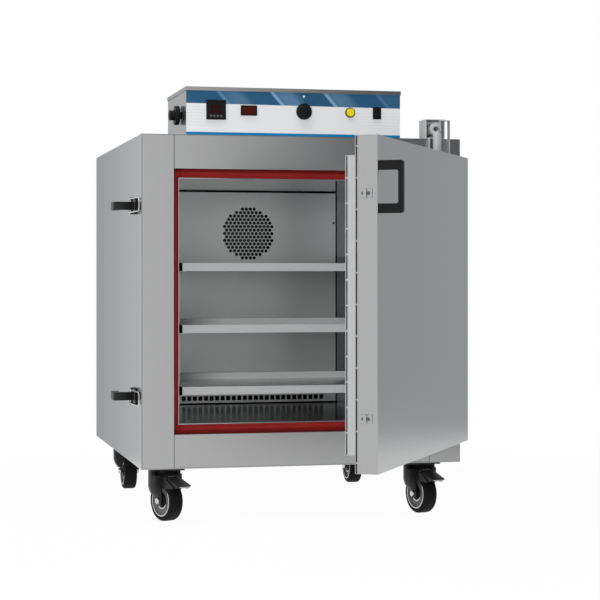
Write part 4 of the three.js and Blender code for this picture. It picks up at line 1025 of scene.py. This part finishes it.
class STERILIZER_OT_stage(PieceOperator, bpy.types.Operator):
    """Floor, world, lamps and the camera of the photograph"""

    bl_idname = "sterilizer.stage"
    bl_label = "Stage"

    white = (1, 1, 1, 1)
    floor_reach, floor_white = 30, (0.93, 0.93, 0.93, 1)
    fade_reach, near_white = (0.9, 2.2), 0.965
    sensor_width, clip_start, clip_end = 36, 0.05, 100

    def build(self, scene):
        scene.view_settings.view_transform = "Standard"
        self.floor()
        self.world(scene)
        self.cards()
        front, top = self.stage.front_power, self.stage.top_power
        self.lamp("front_lamp", (-1.4, -4.4, 0.95), target=(0, 0, 0.55), size=1.0, power=front)
        self.lamp("top_lamp", (-0.6, -0.6, 4.2), target=(0, 0, 0), size=3.0, power=top)
        self.camera(scene)

    def floor(self):
        """White floor that keeps the oven's shadow near it and fades into the surroundings."""
        material, tree = new_material("pale_floor")
        lit = tree.node("ShaderNodeBsdfDiffuse", None, {"Color": self.floor_white})
        white = tree.node("ShaderNodeEmission", None, {"Color": self.white, "Strength": 1.0})
        seen = self.background_rays(tree)
        x, y, _ = tree.split(tree.object_place())
        far = (x * x + y * y).math("SQRT").ramp(*self.fade_reach, self.near_white)
        tree.surface(tree.node("ShaderNodeMixShader", None, {0: seen * far, 1: lit, 2: white}))
        bm = bmesh.new()
        bmesh.ops.create_grid(bm, x_segments=1, y_segments=1, size=self.floor_reach)
        floor = placed("floor", mesh_of("floor", bm, material))

    def background_rays(self, tree):
        """One for the rays that see the white surroundings: camera, glossy and transmission rays."""
        outputs = tree.node("ShaderNodeLightPath").socket.node.outputs
        camera, glossy, through = [
            Value(tree, outputs[f"Is {kind} Ray"]) for kind in ("Camera", "Glossy", "Transmission")
        ]
        return camera.math("MAXIMUM", glossy).math("MAXIMUM", through)

    def world(self, scene):
        scene.world = bpy.data.worlds.new("studio")
        scene.world.use_nodes = True
        tree = NodeTree(scene.world.node_tree)
        sky = self.stage.sky_strength
        strength = self.background_rays(tree) * (1 - sky) + sky
        background = tree.node("ShaderNodeBackground", None, {"Color": self.white, "Strength": strength})
        tree.surface(background, "ShaderNodeOutputWorld")

    def cards(self):
        """Soft grey cards round the oven, which only its polished steel shows."""
        self.card("front_card", (1.7, -1.9), turn=0, half=(1.9, 3.0), fade=(-1.81, -0.88), tone=0.20)
        self.card("right_card", (1.9, 1.2), turn=90, half=(2.2, 3.0), fade=(-2.1, -1.4), tone=0.50)
        self.card("back_card", (-2.0, 1.3), turn=0, half=(1.6, 3.0), fade=(1.1, 1.58), tone=0.46)

    def card(self, name, place, turn, half, fade, tone):
        """Stands upright on the floor and fades in across its width, from clear to the tone."""
        material, tree = new_material(name)
        cool = (tone * 0.97, tone, tone * 1.025, 1)
        grey = tree.node("ShaderNodeEmission", None, {"Color": cool, "Strength": 1.0})
        clear = tree.node("ShaderNodeBsdfTransparent")
        x, _, _ = tree.split(tree.object_place())
        tree.surface(tree.node("ShaderNodeMixShader", None, {0: x.ramp(*fade), 1: clear, 2: grey}))
        bm = bmesh.new()
        upright = Matrix.Diagonal((half[0], 1, half[1], 1)) @ Matrix.Rotation(math.radians(90), 4, "X")
        bmesh.ops.create_grid(bm, x_segments=1, y_segments=1, size=1, matrix=upright)
        bmesh.ops.translate(bm, verts=bm.verts, vec=(0, 0, half[1]))
        card = placed(name, mesh_of(name, bm, material))
        card.location = (*place, 0)
        card.rotation_euler = (0, 0, math.radians(turn))
        card.visible_camera = card.visible_diffuse = card.visible_shadow = False

    def lamp(self, name, place, target, size, power):
        light = bpy.data.lights.new(name, "AREA")
        light.shape, light.size, light.energy = "SQUARE", size, power
        lamp = placed(name, light)
        lamp.location = place
        lamp.rotation_euler = (Vector(target) - Vector(place)).to_track_quat("-Z", "Y").to_euler()
        lamp.visible_glossy = False

    def camera(self, scene):
        lens = bpy.data.cameras.new("photo_camera")
        lens.sensor_width = self.sensor_width
        lens.lens, lens.shift_y = self.stage.focal_length, self.stage.rise
        lens.clip_start, lens.clip_end = self.clip_start, self.clip_end
        camera = placed("photo_camera", lens)
        camera.location = self.stage.camera_place
        camera.rotation_euler = (math.radians(90), 0, self.stage.camera_turn)
        scene.camera = camera


piece_operators = (
    STERILIZER_OT_casing,
    STERILIZER_OT_chamber,
    STERILIZER_OT_trays,
    STERILIZER_OT_controls,
    STERILIZER_OT_vent,
    STERILIZER_OT_door,
    STERILIZER_OT_latches,
    STERILIZER_OT_casters,
    STERILIZER_OT_stage,
)


class STERILIZER_PT_pieces(bpy.types.Panel):
    """Lists the sterilizer's pieces in the sidebar"""

    bl_idname = "STERILIZER_PT_pieces"
    bl_label = "Sterilizer"
    bl_space_type = "VIEW_3D"
    bl_region_type = "UI"
    bl_category = "Sterilizer"

    def draw(self, context):
        for operator in piece_operators:
            self.layout.operator(operator.bl_idname)


settings = {
    "sterilizer_finishes": SterilizerFinishes,
    "sterilizer_fittings": SterilizerFittings,
    "sterilizer_stage": SterilizerStage,
}
classes = (*settings.values(), *piece_operators, STERILIZER_PT_pieces)


def register():
    for cls in classes:
        bpy.utils.register_class(cls)
    for name, cls in settings.items():
        setattr(bpy.types.Scene, name, bpy.props.PointerProperty(type=cls))


def unregister():
    for name in settings:
        delattr(bpy.types.Scene, name)
    for cls in reversed(classes):
        bpy.utils.unregister_class(cls)


def main():
    register()
    for operator in piece_operators:
        group, name = operator.bl_idname.split(".")
        if getattr(getattr(bpy.ops, group), name)() != {"FINISHED"}:
            raise RuntimeError(f"{operator.bl_label} wasn't finished")


if __name__ == "__main__":
    main()
